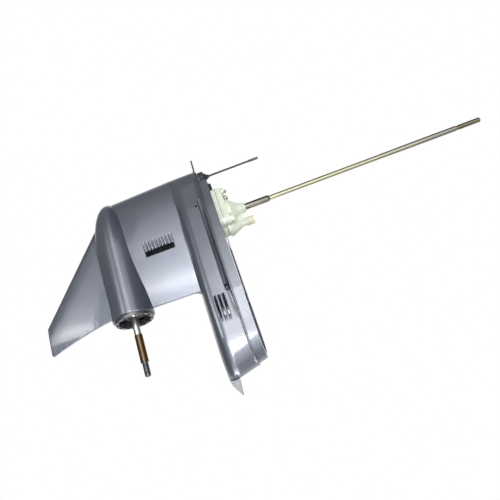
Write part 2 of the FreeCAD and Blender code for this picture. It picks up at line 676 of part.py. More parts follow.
def water_inlets():
    """Opening on each side of the strut, ribs on the ramp in front of it, and the channel to the pump."""
    opening = inlet_prism(0.0, 0, 2 * STRUT_HALF_WIDTH)
    channel = tube_z((INLET_AFT_X - INLET_FRONT_X) / 2, INLET_BOTTOM_Z + 10, 1,
                     x=(INLET_FRONT_X + INLET_AFT_X) / 2)
    gap = inlet_gap()
    surface = STRUT_HALF_WIDTH * 0.985
    ramps = []
    for i in range(INLET_RIB_COUNT + 1):
        z = INLET_BOTTOM_Z + i * (gap + INLET_RIB_THICKNESS)
        ramps += both_sides(prism([V(INLET_RAMP_FRONT_X, surface, z),
                                   V(INLET_FRONT_X + 1, surface - INLET_RAMP_DEPTH, z),
                                   V(INLET_FRONT_X + 1, surface + 6, z),
                                   V(INLET_RAMP_FRONT_X, surface + 6, z)],
                                  V(0, 0, gap)))
    return both_sides(opening) + [channel] + ramps


def exhaust_cavity():
    """Open cavity in the mating face, rounded aft as the casting is, and the passage down to the bullet."""
    corner = CAVITY_CORNER

    def pocket(x_low, x_high, half_width):
        inner = half_width - corner
        return rounded_plate([(x_low + corner, -inner), (x_high - corner, -inner), (x_high - corner, inner),
                              (x_low + corner, inner)], corner, CAVITY_FLOOR_Z, 1)

    width = CAVITY_AFT_HALF_WIDTH
    front = TAIL_START_X - 2 * corner
    corners = [V(TAIL_START_X, width, CAVITY_FLOOR_Z), V(front, width, CAVITY_FLOOR_Z),
               V(front, -width, CAVITY_FLOOR_Z),
               V(TAIL_START_X, -width, CAVITY_FLOOR_Z)]
    lines = [Part.makeLine(a, b) for a, b in zip(corners, corners[1:])]
    outline = Part.Wire([tail_curve(TAIL_START_X, CAVITY_AFT_X, width, CAVITY_FLOOR_Z)] + lines)
    tail = Part.Face(outline).extrude(V(0, 0, 1 - CAVITY_FLOOR_Z))
    passage = slot_prism(PASSAGE_FRONT_X, PASSAGE_AFT_X, PASSAGE_HALF_WIDTH, PROP_AXIS_Z, CAVITY_FLOOR_Z + 1)
    return [pocket(CAVITY_FRONT_X, CAVITY_STEP_X + 2 * corner, CAVITY_HALF_WIDTH),
            pocket(CAVITY_STEP_X, TAIL_START_X, width), tail, passage]


def gear_space():
    """Bores along the propeller shaft axis: bearing seat, gear chamber and shift chamber."""
    nose = SHIFT_CHAMBER_NOSE_X
    shoulder = FORWARD_BEARING_FRONT_X - 5
    cup = FORWARD_CUP_RADIUS + SEAT_CLEARANCE
    return turned_x([(nose, 0), (nose, SHIFT_CHAMBER_NOSE_RADIUS),
                     (nose + SHIFT_CHAMBER_TAPER, SHIFT_CHAMBER_RADIUS),
                     (shoulder, SHIFT_CHAMBER_RADIUS), (shoulder, GEAR_HUB_RADIUS + 7),
                     (FORWARD_BEARING_FRONT_X, GEAR_HUB_RADIUS + 7), (FORWARD_BEARING_FRONT_X, cup),
                     (FORWARD_BEARING_REAR_X, cup), (FORWARD_BEARING_REAR_X, CASE_BORE_RADIUS),
                     (BULLET_AFT_X + 1, CASE_BORE_RADIUS), (BULLET_AFT_X + 1, 0)])


def driveshaft_bores():
    """Bores for the driveshaft with its bearings and seal housing, and for the shift rod."""
    needle = DRIVESHAFT_RADIUS + RUNNING_CLEARANCE + NEEDLE_WALL + SEAT_CLEARANCE
    needle_top = NEEDLE_LOW_Z + DRIVESHAFT_NEEDLE_LENGTH
    cup = UPPER_CUP_RADIUS + SEAT_CLEARANCE
    bearing_low = UPPER_BEARING_TOP_Z - UPPER_BEARING_WIDTH
    housing = SEAL_HOUSING_RADIUS + SEAT_CLEARANCE
    flange = SEAL_FLANGE_RADIUS + SEAT_CLEARANCE
    pinion = PINION_PITCH_RADIUS + 5
    main = turned_z([(0, PROP_AXIS_Z), (pinion, PROP_AXIS_Z), (pinion, PINION_BACK_Z + 2),
                     (needle - 2, PINION_BACK_Z + 2),
                     (needle - 2, NEEDLE_LOW_Z), (needle, NEEDLE_LOW_Z), (needle, needle_top),
                     (needle + 3, needle_top),
                     (needle + 3, bearing_low), (cup, bearing_low), (cup, UPPER_BEARING_TOP_Z),
                     (housing, UPPER_BEARING_TOP_Z), (housing, -SEAL_FLANGE), (flange, -SEAL_FLANGE),
                     (flange, 1), (0, 1)])
    shift_bore = tube_z(SHIFT_ROD_LOWER_RADIUS + 2, PROP_AXIS_Z, 1, x=SHIFT_ROD_X)
    bush_seat = tube_z(SHIFT_BUSH_RADIUS + SEAT_CLEARANCE, BOOT_SEAT_Z - SHIFT_BUSH_LENGTH, 1, x=SHIFT_ROD_X)
    return [main, shift_bore, bush_seat]


def bolt_holes():
    """Casing bolt holes, pump bolt holes, plug holes and the pocket of the trim tab."""
    cuts = [tube_z(CASING_BOLT_HOLE_RADIUS, LIP_UNDER_Z - GROOVE_HEIGHT + 1, 1, x=x, y=y)
            for x, y in CASING_BOLTS]
    cuts += [tube_z(PUMP_BOLT_RADIUS, -PUMP_BOLT_GRIP - 2, 1, x=x, y=y) for x, y in PUMP_BOLTS]
    wall = box_half_width(SIDE_HOLE_X)
    side_hole = Part.makeCylinder(SIDE_HOLE_RADIUS, wall,
                                  V(SIDE_HOLE_X, wall - SIDE_HOLE_DEPTH, SIDE_HOLE_Z), AXIS_Y)
    cuts += both_sides(side_hole)
    drain, level = plug_places()
    for x, y, z in (drain, level):
        cuts.append(Part.makeCylinder(PLUG_RADIUS, PLUG_LENGTH + 2, V(x, y - PLUG_LENGTH, z), AXIS_Y))
        cuts.append(Part.makeCylinder(PLUG_HEAD_RADIUS + 1.5, PLUG_RECESS_REACH, V(x, y, z), AXIS_Y))
    root = TAB_ROOT_WIDTH / 2 + SEAT_CLEARANCE
    cuts.append(block(TAB_FRONT_X - SEAT_CLEARANCE, TAB_ROOT_AFT_X + SEAT_CLEARANCE, -root, root,
                      PLATE_UNDER_Z - 1,
                      PLATE_UNDER_Z + TAB_ROOT_HEIGHT))
    cuts.append(tube_z(TAB_BOLT_RADIUS, PLATE_UNDER_Z, CAVITY_FLOOR_Z - 3, x=tab_bolt_x()))
    return cuts


def tab_bolt_x():
    """Place of the trim tab bolt, well inside the root of the tab."""
    return TAB_FRONT_X + (TAB_ROOT_AFT_X - TAB_FRONT_X) * 0.35


def plug_places():
    """Seats of the drain plug and the level plug, on the starboard side: x, y of the seat, z."""
    drain_y = BULLET_RADIUS * 0.80
    level_share = (LEVEL_PLUG_X - STRUT_TOP_NOSE_X) / (STRUT_TOP_TAIL_X - STRUT_TOP_NOSE_X)
    level_y = foil_half_width(level_share, STRUT_HALF_WIDTH, STRUT_TAIL_HALF_WIDTH) - PLUG_HEAD_HEIGHT
    return (DRAIN_PLUG_X, drain_y, DRAIN_PLUG_Z), (LEVEL_PLUG_X, level_y, LEVEL_PLUG_Z)


def gearcase_housing():
    """The main casting with everything cut into it."""
    outside = upper_box().fuse(strut() + [bullet(), skeg()])
    grooved = outside.cut(bolt_grooves())
    bosses = [tube_z(CASING_BOSS_RADIUS, LIP_UNDER_Z - CASING_BOSS_DROP, LIP_UNDER_Z + 1, x=x, y=y)
              for x, y in CASING_BOLTS]
    with_bosses = grooved.fuse(bosses)
    cuts = side_slots() + water_inlets() + exhaust_cavity() + [gear_space()]
    cuts += driveshaft_bores() + bolt_holes()
    return with_bosses.cut(cuts)


def bevel_gear(teeth, mate_teeth, back, bore):
    """Bevel gear blank with straight teeth, its cone's apex at the origin and its back up along Z."""
    radius = GEAR_MODULE * teeth / 2
    heel = GEAR_MODULE * mate_teeth / 2
    pitch = math.atan2(teeth, mate_teeth)
    distance = math.hypot(radius, heel)
    tip_radius = heel * math.tan(pitch + math.atan(TOOTH_ADDENDUM * GEAR_MODULE / distance))
    root_radius = heel * math.tan(pitch - math.atan(TOOTH_DEDENDUM * GEAR_MODULE / distance))
    toe = heel * TOE_SHARE
    half = TOOTH_THICKNESS_SHARE * math.pi * GEAR_MODULE / 2
    lean = math.tan(math.radians(TOOTH_FLANK_ANGLE))
    rise = (tip_radius - radius) * math.cos(pitch)
    drop = (radius - root_radius) * math.cos(pitch)

    def tooth_wire(z):
        scale = z / heel
        corners = [(tip_radius, half - rise * lean), (root_radius - 1.5, half + drop * lean)]
        points = [V(r * scale, w * scale, z) for r, w in corners]
        points += [V(p.x, -p.y, z) for p in reversed(points)]
        return Part.makePolygon(points + points[:1])

    tooth = Part.makeLoft([tooth_wire(toe), tooth_wire(heel)], True, True)
    blank = turned_z([(0, toe), (root_radius * TOE_SHARE, toe), (root_radius, heel),
                      (root_radius, heel + back * 0.4),
                      (root_radius - back * 0.3, heel + back), (0, heel + back)])
    gear = blank.fuse(ring_of(tooth, teeth, V(0, 0, 0), AXIS_Z))
    return gear.cut(Part.makeCylinder(bore, 3 * heel, V(0, 0, 0), AXIS_Z))


def face_gear(side):
    """Forward (side -1) or reverse (side +1) gear with hub, clutch jaws and bore, in its place."""
    bore = PROPSHAFT_RADIUS + RUNNING_CLEARANCE
    gear = bevel_gear(GEAR_TEETH, PINION_TEETH, GEAR_BACKING, bore)
    hub_length = (FORWARD_BEARING_WIDTH if side < 0 else REVERSE_BEARING_WIDTH) + 4
    hub = tube_z(GEAR_HUB_RADIUS, GEAR_BACK_X - 1, GEAR_BACK_X + hub_length, inner=bore)
    web = tube_z(GEAR_PITCH_RADIUS * TOE_SHARE - 4, PINION_PITCH_RADIUS * TOE_SHARE - 2, GEAR_WEB_X)
    if side < 0:
        gear = gear.rotated(V(0, 0, 0), AXIS_Z, 360.0 / GEAR_TEETH / 2)
    jaws = [jaw.rotated(V(0, 0, 0), AXIS_Z, 360.0 / JAW_COUNT / 4)
            for jaw in clutch_jaws(GEAR_WEB_X - JAW_HEIGHT, GEAR_WEB_X + 1)]
    gear = gear.cut(web).fuse([hub] + jaws).common(tube_z(GEAR_OUTER_RADIUS, 0,
                                                          3 * GEAR_BACK_X)).removeSplitter()
    gear = gear.rotated(V(0, 0, 0), AXIS_Y, 90 * side)
    return gear.translated(V(0, 0, PROP_AXIS_Z))


def clutch_jaws(z_low, z_high):
    """Jaws of the clutch, around Z, between two heights."""
    half = math.radians(JAW_ANGLE / 2)
    far = JAW_OUTER_RADIUS * 1.5
    wedge = prism([V(0, 0, z_low), V(far, -far * math.tan(half), z_low), V(far, far * math.tan(half), z_low)],
                  V(0, 0, z_high - z_low))
    jaw = wedge.common(tube_z(JAW_OUTER_RADIUS, z_low, z_high, inner=JAW_INNER_RADIUS))
    return ring_of(jaw, JAW_COUNT, V(0, 0, 0), AXIS_Z)


def pinion_gear():
    """Pinion on the foot of the driveshaft."""
    pinion = bevel_gear(PINION_TEETH, GEAR_TEETH, PINION_BACKING, PINION_SEAT_RADIUS)
    return pinion.rotated(V(0, 0, 0), AXIS_Z, 180).translated(V(0, 0, PROP_AXIS_Z))


def roller_bearing(bore, outer, width, rollers, low):
    """Taper roller bearing that stands on Z from low: the cup, and the cone with its rollers."""
    cone_top = bore + BEARING_RING * 0.7
    cone_low = bore + BEARING_RING * 1.3
    cup_top = outer - BEARING_RING * 1.3
    cup_low = outer - BEARING_RING * 0.7
    high = low + width
    cup = turned_z([(cup_low, low), (outer, low), (outer, high), (cup_top, high)])
    cone = turned_z([(bore, low), (cone_low, low), (cone_top, high), (bore, high)])
    lean = math.atan2(cup_low - cup_top, width)
    thickness = (cup_low - cone_low) / 2 * math.cos(lean) - RUNNING_CLEARANCE
    roller = Part.makeCylinder(thickness, width - 5, V(0, 0, (5 - width) / 2), AXIS_Z)
    roller = roller.rotated(V(0, 0, 0), AXIS_Y, -math.degrees(lean))
    roller.translate(V((cup_low + cone_low + cup_top + cone_top) / 4 - RUNNING_CLEARANCE, 0, low + width / 2))
    cage = turned_z([(cone_top, high - 3.5), ((cone_top + cup_top) / 2, high - 3.5),
                     ((cone_top + cup_top) / 2, high - 1),
                     (cone_top, high - 1)])
    return cup, cone.fuse([cage] + ring_of(roller, rollers, V(0, 0, 0), AXIS_Z)).removeSplitter()


def onto_prop_axis(shape, side, x_start):
    """Lay a shape that stands on Z from 0 along the propeller shaft axis, aft (+1) or forward (-1)."""
    return shape.rotated(V(0, 0, 0), AXIS_Y, 90 * side).translated(V(x_start, 0, PROP_AXIS_Z))


def ball_bearing(bore, outer, width, balls, x_low):
    """Ball bearing on the propeller shaft axis: the outer ring, and the inner ring with its balls."""
    middle = (bore + outer) / 2
    ball_radius = (outer - bore) / 2 - BEARING_RING * 0.75
    groove = Part.makeTorus(middle, ball_radius + RUNNING_CLEARANCE, V(x_low + width / 2, 0, PROP_AXIS_Z),
                            AXIS_X)
    outer_ring = tube_x(outer, x_low, x_low + width, inner=outer - BEARING_RING).cut(groove)
    inner_ring = tube_x(bore + BEARING_RING, x_low, x_low + width, inner=bore)
    ball = Part.makeSphere(ball_radius, V(x_low + width / 2, 0, PROP_AXIS_Z + middle))
    return outer_ring, inner_ring.fuse(ring_of(ball, balls, V(0, 0, PROP_AXIS_Z), AXIS_X))


def seal_ring_x(x_low):
    """Lip seal round the propeller shaft."""
    bore = PROPSHAFT_RADIUS + RUNNING_CLEARANCE
    lip = (x_low + SEAL_THICKNESS, bore + 1.5)
    return turned_x([(x_low, bore + SEAL_WALL), (x_low, bore), (x_low + 1.5, bore),
                     (x_low + 2.5, bore + 1.5), lip,
                     (x_low + SEAL_THICKNESS, bore + SEAL_WALL)])


def bearing_carrier():
    """Carrier that fills the aft bore: collar, hub, spokes and outer ring."""
    outer = CASE_BORE_RADIUS - SEAT_CLEARANCE
    collar_end = CARRIER_FRONT_X + CARRIER_COLLAR_LENGTH
    bearing = REVERSE_CUP_RADIUS + SEAT_CLEARANCE
    bore = PROPSHAFT_RADIUS + 1.5
    needle = PROPSHAFT_RADIUS + RUNNING_CLEARANCE + NEEDLE_WALL + SEAT_CLEARANCE
    seals = PROPSHAFT_RADIUS + RUNNING_CLEARANCE + SEAL_WALL + SEAT_CLEARANCE
    needle_start = carrier_needle_x()
    seal_start = carrier_seal_x()
    profile = [(CARRIER_FRONT_X, bearing), (CARRIER_FRONT_X, outer), (collar_end, outer),
               (collar_end + 12, CARRIER_HUB_RADIUS), (CARRIER_RING_AFT_X, CARRIER_HUB_RADIUS),
               (CARRIER_RING_AFT_X, seals), (seal_start, seals), (seal_start, needle), (needle_start, needle),
               (needle_start, bore), (CARRIER_FRONT_X + REVERSE_BEARING_WIDTH + 5, bore),
               (CARRIER_FRONT_X + REVERSE_BEARING_WIDTH + 5, GEAR_HUB_RADIUS + 6),
               (CARRIER_FRONT_X + REVERSE_BEARING_WIDTH, GEAR_HUB_RADIUS + 6),
               (CARRIER_FRONT_X + REVERSE_BEARING_WIDTH, bearing)]
    ring_start = CARRIER_RING_AFT_X - CARRIER_RING_LENGTH
    ring = tube_x(outer, ring_start, CARRIER_RING_AFT_X, inner=outer - CARRIER_RING_WALL)
    half = CARRIER_SPOKE_THICKNESS / 2
    spoke = block(ring_start + 2, CARRIER_RING_AFT_X, -half, half, PROP_AXIS_Z + CARRIER_HUB_RADIUS - 1,
                  PROP_AXIS_Z + outer - CARRIER_RING_WALL + 1)
    body = turned_x(profile).fuse([ring] + ring_of(spoke, CARRIER_SPOKES, V(0, 0, PROP_AXIS_Z), AXIS_X))
    groove = tube_x(outer + 1, oring_x() - CARRIER_ORING_RADIUS - 0.2, oring_x() + CARRIER_ORING_RADIUS + 0.2,
                    inner=outer - 2 * CARRIER_ORING_RADIUS + 0.1)
    return body.cut(groove).removeSplitter()


def carrier_needle_x():
    """Front of the propeller shaft's needle bearing."""
    return carrier_seal_x() - PROPSHAFT_NEEDLE_LENGTH


def carrier_seal_x():
    """Front of the propeller shaft's two lip seals."""
    return CARRIER_RING_AFT_X - 2 * SEAL_THICKNESS - 1


def oring_x():
    """Middle of the carrier's ring seal."""
    return CARRIER_FRONT_X + CARRIER_COLLAR_LENGTH - 5


def carrier_ring_nut():
    """Castellated ring nut that holds the carrier in the bore."""
    outer = CASE_BORE_RADIUS - SEAT_CLEARANCE
    start = CARRIER_RING_AFT_X + TAB_WASHER_THICKNESS
    end = start + RING_NUT_LENGTH
    nut = tube_x(outer, start, end, inner=outer - RING_NUT_WALL)
    half = RING_NUT_NOTCH_WIDTH / 2
    notch = block(end - RING_NUT_NOTCH_DEPTH, end + 1, -half, half, PROP_AXIS_Z + outer - RING_NUT_WALL - 1,
                  PROP_AXIS_Z + outer - 2)
    return nut.cut(ring_of(notch, RING_NUT_NOTCHES, V(0, 0, PROP_AXIS_Z), AXIS_X,
                           360.0 / RING_NUT_NOTCHES / 2))


def tab_washer():
    """Tab washer between the carrier and its ring nut, with one tab bent up."""
    outer = CASE_BORE_RADIUS - 2 * SEAT_CLEARANCE
    start = CARRIER_RING_AFT_X
    inner = outer - RING_NUT_WALL
    washer = tube_x(outer, start, start + TAB_WASHER_THICKNESS, inner=inner)
    end = start + TAB_WASHER_THICKNESS + RING_NUT_LENGTH
    tab = block(start, end, -3, 3, PROP_AXIS_Z + inner - 1.6, PROP_AXIS_Z + inner - 0.1)
    foot = block(start, start + TAB_WASHER_THICKNESS, -3, 3, PROP_AXIS_Z + inner - 1.6,
                 PROP_AXIS_Z + inner + 1)
    return joined([washer, tab, foot])


def propshaft():
    """Propeller shaft: hollow front for the plunger, slot for the cross pin, spline and thread aft."""
    profile = [(PROPSHAFT_FRONT_X, 0), (PROPSHAFT_FRONT_X, PROPSHAFT_RADIUS - 1),
               (PROPSHAFT_FRONT_X + 1, PROPSHAFT_RADIUS),
               (PROPSHAFT_STEP_X - 4, PROPSHAFT_RADIUS), (PROPSHAFT_STEP_X, PROPSHAFT_TAIL_RADIUS),
               (PROP_SPLINE_START_X - 1, PROPSHAFT_TAIL_RADIUS), (PROP_SPLINE_START_X, PROP_SPLINE_RADIUS),
               (PROP_SPLINE_END_X - 1, PROP_SPLINE_RADIUS), (PROP_SPLINE_END_X, PROP_THREAD_RADIUS),
               (PROP_THREAD_END_X - 1.5, PROP_THREAD_RADIUS), (PROP_THREAD_END_X, PROP_THREAD_RADIUS - 1.5),
               (PROP_THREAD_END_X, 0)]
    shaft = turned_x(profile)
    grooves = spline_grooves(PROP_SPLINE_RADIUS, PROP_SPLINE_TEETH, PROP_SPLINE_START_X - 1,
                             PROP_SPLINE_LENGTH + 2, AXIS_X)
    dog_groove = block(-DOG_HALF_LENGTH - SHIFT_TRAVEL, DOG_HALF_LENGTH + SHIFT_TRAVEL, -1, 1,
                       PROP_AXIS_Z + PROPSHAFT_RADIUS - 1.5, PROP_AXIS_Z + PROPSHAFT_RADIUS + 1)
    dog_grooves = ring_of(dog_groove, DOG_KEYS, V(0, 0, PROP_AXIS_Z), AXIS_X, 30)
    bore = tube_x(PLUNGER_RADIUS + 0.3, PROPSHAFT_FRONT_X - 1, CROSS_PIN_RADIUS + SHIFT_TRAVEL + 6)
    reach = SHIFT_TRAVEL + 0.4
    radius = CROSS_PIN_RADIUS + 0.2
    slot = block(-reach, reach, -2 * PROPSHAFT_RADIUS, 2 * PROPSHAFT_RADIUS, PROP_AXIS_Z - radius,
                 PROP_AXIS_Z + radius)
    ends = [Part.makeCylinder(radius, 4 * PROPSHAFT_RADIUS, V(x, -2 * PROPSHAFT_RADIUS, PROP_AXIS_Z), AXIS_Y)
            for x in (-reach, reach)]
    return shaft.cut(grooves + dog_grooves + [bore, slot] + ends)


def clutch_dog():
    """Sliding clutch sleeve with jaws at both ends, keyed to the propeller shaft."""
    body_half = DOG_HALF_LENGTH - JAW_HEIGHT
    sleeve = tube_z(JAW_OUTER_RADIUS, -body_half, body_half)
    jaws = clutch_jaws(-DOG_HALF_LENGTH, -body_half + 1) + clutch_jaws(body_half - 1, DOG_HALF_LENGTH)
    dog = sleeve.fuse(jaws).cut(tube_z(PROPSHAFT_RADIUS + RUNNING_CLEARANCE, -2 * DOG_HALF_LENGTH,
                                       2 * DOG_HALF_LENGTH))
    dog = onto_prop_axis(dog, 1, 0)
    key = block(-body_half, body_half, -0.9, 0.9, PROP_AXIS_Z + PROPSHAFT_RADIUS - 1.3,
                PROP_AXIS_Z + PROPSHAFT_RADIUS + 2)
    keys = ring_of(key, DOG_KEYS, V(0, 0, PROP_AXIS_Z), AXIS_X, 30)
    pin_hole = Part.makeCylinder(CROSS_PIN_RADIUS + SEAT_CLEARANCE, 4 * JAW_OUTER_RADIUS,
                                 V(0, -2 * JAW_OUTER_RADIUS, PROP_AXIS_Z), AXIS_Y)
    groove = round_ring(JAW_OUTER_RADIUS, PIN_SPRING_RADIUS + 0.2, 0)
    return dog.fuse(keys).cut([pin_hole, groove]).removeSplitter()


def cross_pin():
    """Pin through the clutch dog, the propeller shaft and the plunger."""
    length = 2 * (JAW_OUTER_RADIUS - PIN_SPRING_RADIUS - 0.3)
    return Part.makeCylinder(CROSS_PIN_RADIUS, length, V(0, -length / 2, PROP_AXIS_Z), AXIS_Y)


def pin_spring():
    """Garter ring round the clutch dog that traps the cross pin."""
    return round_ring(JAW_OUTER_RADIUS, PIN_SPRING_RADIUS, 0)


def shift_plunger():
    """Plunger inside the propeller shaft, with a neck and head that the slider holds."""
    aft = CROSS_PIN_RADIUS + 4
    head_x = plunger_head_x()
    neck_x = head_x + PLUNGER_HEAD_LENGTH
    body = turned_x([(head_x, 0), (head_x, PLUNGER_HEAD_RADIUS), (neck_x, PLUNGER_HEAD_RADIUS),
                     (neck_x, PLUNGER_NECK_RADIUS), (neck_x + PLUNGER_NECK_LENGTH, PLUNGER_NECK_RADIUS),
                     (neck_x + PLUNGER_NECK_LENGTH + 2, PLUNGER_RADIUS), (aft, PLUNGER_RADIUS), (aft, 0)])
    length = 4 * PLUNGER_RADIUS
    return body.cut(Part.makeCylinder(CROSS_PIN_RADIUS + SEAT_CLEARANCE, length,
                                      V(0, -length / 2, PROP_AXIS_Z), AXIS_Y))


def plunger_head_x():
    """Front of the plunger's head, in the middle of the slider's slot."""
    return SLIDER_REAR_X - SLIDER_BLOCK_LENGTH / 2 - PLUNGER_HEAD_LENGTH / 2


def shift_slider():
    """Slider in the nose: a plate with a cross slot for the crank pin, and a block that holds the plunger."""
    clearance = SHIFT_SLOT_CLEARANCE
    pin = SHIFT_CRANK_PIN_RADIUS + clearance
    swing = math.asin(SHIFT_TRAVEL / SHIFT_CRANK_RADIUS)
    slot_low = SHIFT_CRANK_RADIUS * math.cos(swing)
    block_x = SLIDER_REAR_X - SLIDER_BLOCK_LENGTH
    top = PROP_AXIS_Z + SHIFT_CRANK_BASE - 0.6
    low = PROP_AXIS_Z - SLIDER_PLATE_DROP
    half = SLIDER_BLOCK_HALF
    outer_y = SHIFT_CRANK_RADIUS + pin + 2.4
    plate = block(SLIDER_FRONT_X, block_x + 1, -half, outer_y, low, top)
    holder = block(block_x, SLIDER_REAR_X, -half, half, PROP_AXIS_Z - half, PROP_AXIS_Z + half)
    pin_slot = rounded_slot_y(SHIFT_ROD_X, slot_low, SHIFT_CRANK_RADIUS, pin, low - 1, top + 1)
    head = plunger_head_x()
    radius = PLUNGER_HEAD_RADIUS + clearance
    head_slot = block(head - clearance, head + PLUNGER_HEAD_LENGTH + clearance, -radius, radius,
                      PROP_AXIS_Z - radius, PROP_AXIS_Z + half + 1)
    neck = PLUNGER_NECK_RADIUS + clearance
    neck_slot = block(head, SLIDER_REAR_X + 1, -neck, neck, PROP_AXIS_Z - neck, PROP_AXIS_Z + half + 1)
    trim = block(SLIDER_FRONT_X - 20, SHIFT_ROD_X, -half, 0, low - 1, top + 1)
    reach = SHIFT_CHAMBER_RADIUS - SLIDER_CLEARANCE
    taper_end = SHIFT_CHAMBER_NOSE_X + SHIFT_CHAMBER_TAPER + SHIFT_TRAVEL + 1
    keep = turned_x([(SLIDER_FRONT_X, 0), (SLIDER_FRONT_X, SHIFT_CHAMBER_NOSE_RADIUS - SLIDER_CLEARANCE),
                     (taper_end, reach),
                     (SLIDER_REAR_X + 1, reach), (SLIDER_REAR_X + 1, 0)])
    return joined([plate, holder]).cut([pin_slot, head_slot, neck_slot, trim]).common(keep)


def rounded_slot_y(x, y_low, y_high, radius, z_low, z_high):
    """Slot with rounded ends that runs across the case."""
    middle = block(x - radius, x + radius, y_low, y_high, z_low, z_high)
    return joined([middle, tube_z(radius, z_low, z_high, x=x, y=y_low),
                   tube_z(radius, z_low, z_high, x=x, y=y_high)])


def shift_crank():
    """Crank on the foot of the shift rod, with a pin that moves the slider."""
    low = PROP_AXIS_Z + SHIFT_CRANK_BASE
    high = low + SHIFT_CRANK_THICKNESS
    arm = rounded_plate([(SHIFT_ROD_X - 0.5, 0), (SHIFT_ROD_X + 0.5, 0),
                         (SHIFT_ROD_X + 0.5, SHIFT_CRANK_RADIUS),
                         (SHIFT_ROD_X - 0.5, SHIFT_CRANK_RADIUS)], SHIFT_CRANK_PIN_RADIUS + 1, low, high)
    hub = tube_z(SHIFT_CRANK_HUB_RADIUS, low, high, x=SHIFT_ROD_X)
    pin = tube_z(SHIFT_CRANK_PIN_RADIUS, PROP_AXIS_Z - SLIDER_PLATE_DROP + 1, low + 1, x=SHIFT_ROD_X,
                 y=SHIFT_CRANK_RADIUS)
    seat = tube_z(SHIFT_ROD_LOWER_RADIUS, low - 1, high + 1, x=SHIFT_ROD_X)
    return joined([arm, hub, pin]).cut(seat)


def shift_rod():
    """Vertical shift rod with a splined upper end."""
    low = PROP_AXIS_Z + SHIFT_CRANK_BASE
    bush_top = BOOT_SEAT_Z
    profile = [(0, low), (SHIFT_ROD_LOWER_RADIUS, low), (SHIFT_ROD_LOWER_RADIUS, bush_top),
               (SHIFT_ROD_RADIUS, bush_top + 2),
               (SHIFT_ROD_RADIUS, SHIFT_ROD_END_START_Z), (SHIFT_ROD_END_RADIUS, SHIFT_ROD_END_START_Z + 1),
               (SHIFT_ROD_END_RADIUS, SHIFT_ROD_TIP_Z - 1), (SHIFT_ROD_END_RADIUS - 1, SHIFT_ROD_TIP_Z),
               (0, SHIFT_ROD_TIP_Z)]
    rod = turned_z(profile)
    groove = block(SHIFT_ROD_END_RADIUS - 0.6, SHIFT_ROD_END_RADIUS + 1, -0.25, 0.25, SHIFT_ROD_END_START_Z,
                   SHIFT_ROD_TIP_Z + 1)
    return rod.cut(ring_of(groove, 8, V(0, 0, 0), AXIS_Z)).translated(V(SHIFT_ROD_X, 0, 0))


def driveshaft():
    """Driveshaft: pinion seat and thread below, pump journal, slim upper shaft and spline."""
    foot = PINION_TOE_Z - PINION_NUT_HEIGHT - 0.5
    ring = DRIVESHAFT_RING_Z
    neck = ring + DRIVESHAFT_NECK_LENGTH
    profile = [(0, foot), (PINION_THREAD_RADIUS - 1, foot), (PINION_THREAD_RADIUS, foot + 1),
               (PINION_THREAD_RADIUS, PINION_TOE_Z), (PINION_SEAT_RADIUS, PINION_TOE_Z + 1),
               (PINION_SEAT_RADIUS, PINION_BACK_Z), (DRIVESHAFT_RADIUS, PINION_BACK_Z),
               (DRIVESHAFT_RADIUS, DRIVESHAFT_STEP_Z),
               (DRIVESHAFT_PUMP_RADIUS, DRIVESHAFT_STEP_Z + 2),
               (DRIVESHAFT_PUMP_RADIUS, DRIVESHAFT_THICK_TOP_Z),
               (DRIVESHAFT_THIN_RADIUS, DRIVESHAFT_THICK_TOP_Z + 5),
               (DRIVESHAFT_THIN_RADIUS, DRIVESHAFT_TAPER_START_Z),
               (DRIVESHAFT_UPPER_RADIUS, DRIVESHAFT_TAPER_START_Z + 120), (DRIVESHAFT_UPPER_RADIUS, ring),
               (DRIVESHAFT_NECK_RADIUS, ring), (DRIVESHAFT_NECK_RADIUS, neck),
               (DRIVESHAFT_SPLINE_RADIUS, neck + 1),
               (DRIVESHAFT_SPLINE_RADIUS, DRIVESHAFT_TIP_Z - 1.5),
               (DRIVESHAFT_SPLINE_RADIUS - 1.5, DRIVESHAFT_TIP_Z),
               (0, DRIVESHAFT_TIP_Z)]
    grooves = spline_grooves(DRIVESHAFT_SPLINE_RADIUS, DRIVESHAFT_SPLINE_TEETH, neck,
                             DRIVESHAFT_TIP_Z + 1 - neck, AXIS_Z)
    return turned_z(profile).cut(grooves + [key_block(0.05)])


def key_block(clearance):
    """Key that drives the impeller, or the seat for it."""
    half = IMPELLER_KEY_WIDTH / 2 + clearance
    low = PUMP_BODY_Z + (IMPELLER_HEIGHT - IMPELLER_KEY_HEIGHT) / 2 - clearance
    return block(DRIVESHAFT_PUMP_RADIUS - 2, DRIVESHAFT_PUMP_RADIUS + 2 + clearance, -half, half, low,
                 low + IMPELLER_KEY_HEIGHT + 2 * clearance)


def impeller():
    """Rubber impeller with swept vanes, keyed to the driveshaft."""
    low = PUMP_BODY_Z + 0.5
    high = low + IMPELLER_HEIGHT
    hub = tube_z(IMPELLER_HUB_RADIUS, low, high)
    half = IMPELLER_VANE_THICKNESS / 2
    reach = IMPELLER_RADIUS - IMPELLER_HUB_RADIUS
    bend = reach * 0.45
    root = IMPELLER_HUB_RADIUS - 1
    vane = prism([V(root, -half, low), V(root + reach * 0.5, -half + bend * 0.3, low),
                  V(IMPELLER_RADIUS - 2, bend, low),
                  V(IMPELLER_RADIUS - 2, bend + 2 * half, low),
                  V(root + reach * 0.4, half + bend * 0.35, low),
                  V(root, half, low)], V(0, 0, IMPELLER_HEIGHT))
    tip = tube_z(half * 1.2, low, high, x=IMPELLER_RADIUS - 2.6, y=bend + half)
    vanes = ring_of(vane.fuse(tip), IMPELLER_VANES, V(0, 0, 0), AXIS_Z)
    bore = tube_z(DRIVESHAFT_PUMP_RADIUS + SEAT_CLEARANCE, low - 1, high + 1)
    return hub.fuse(vanes).cut([bore, key_block(0.05)]).removeSplitter()


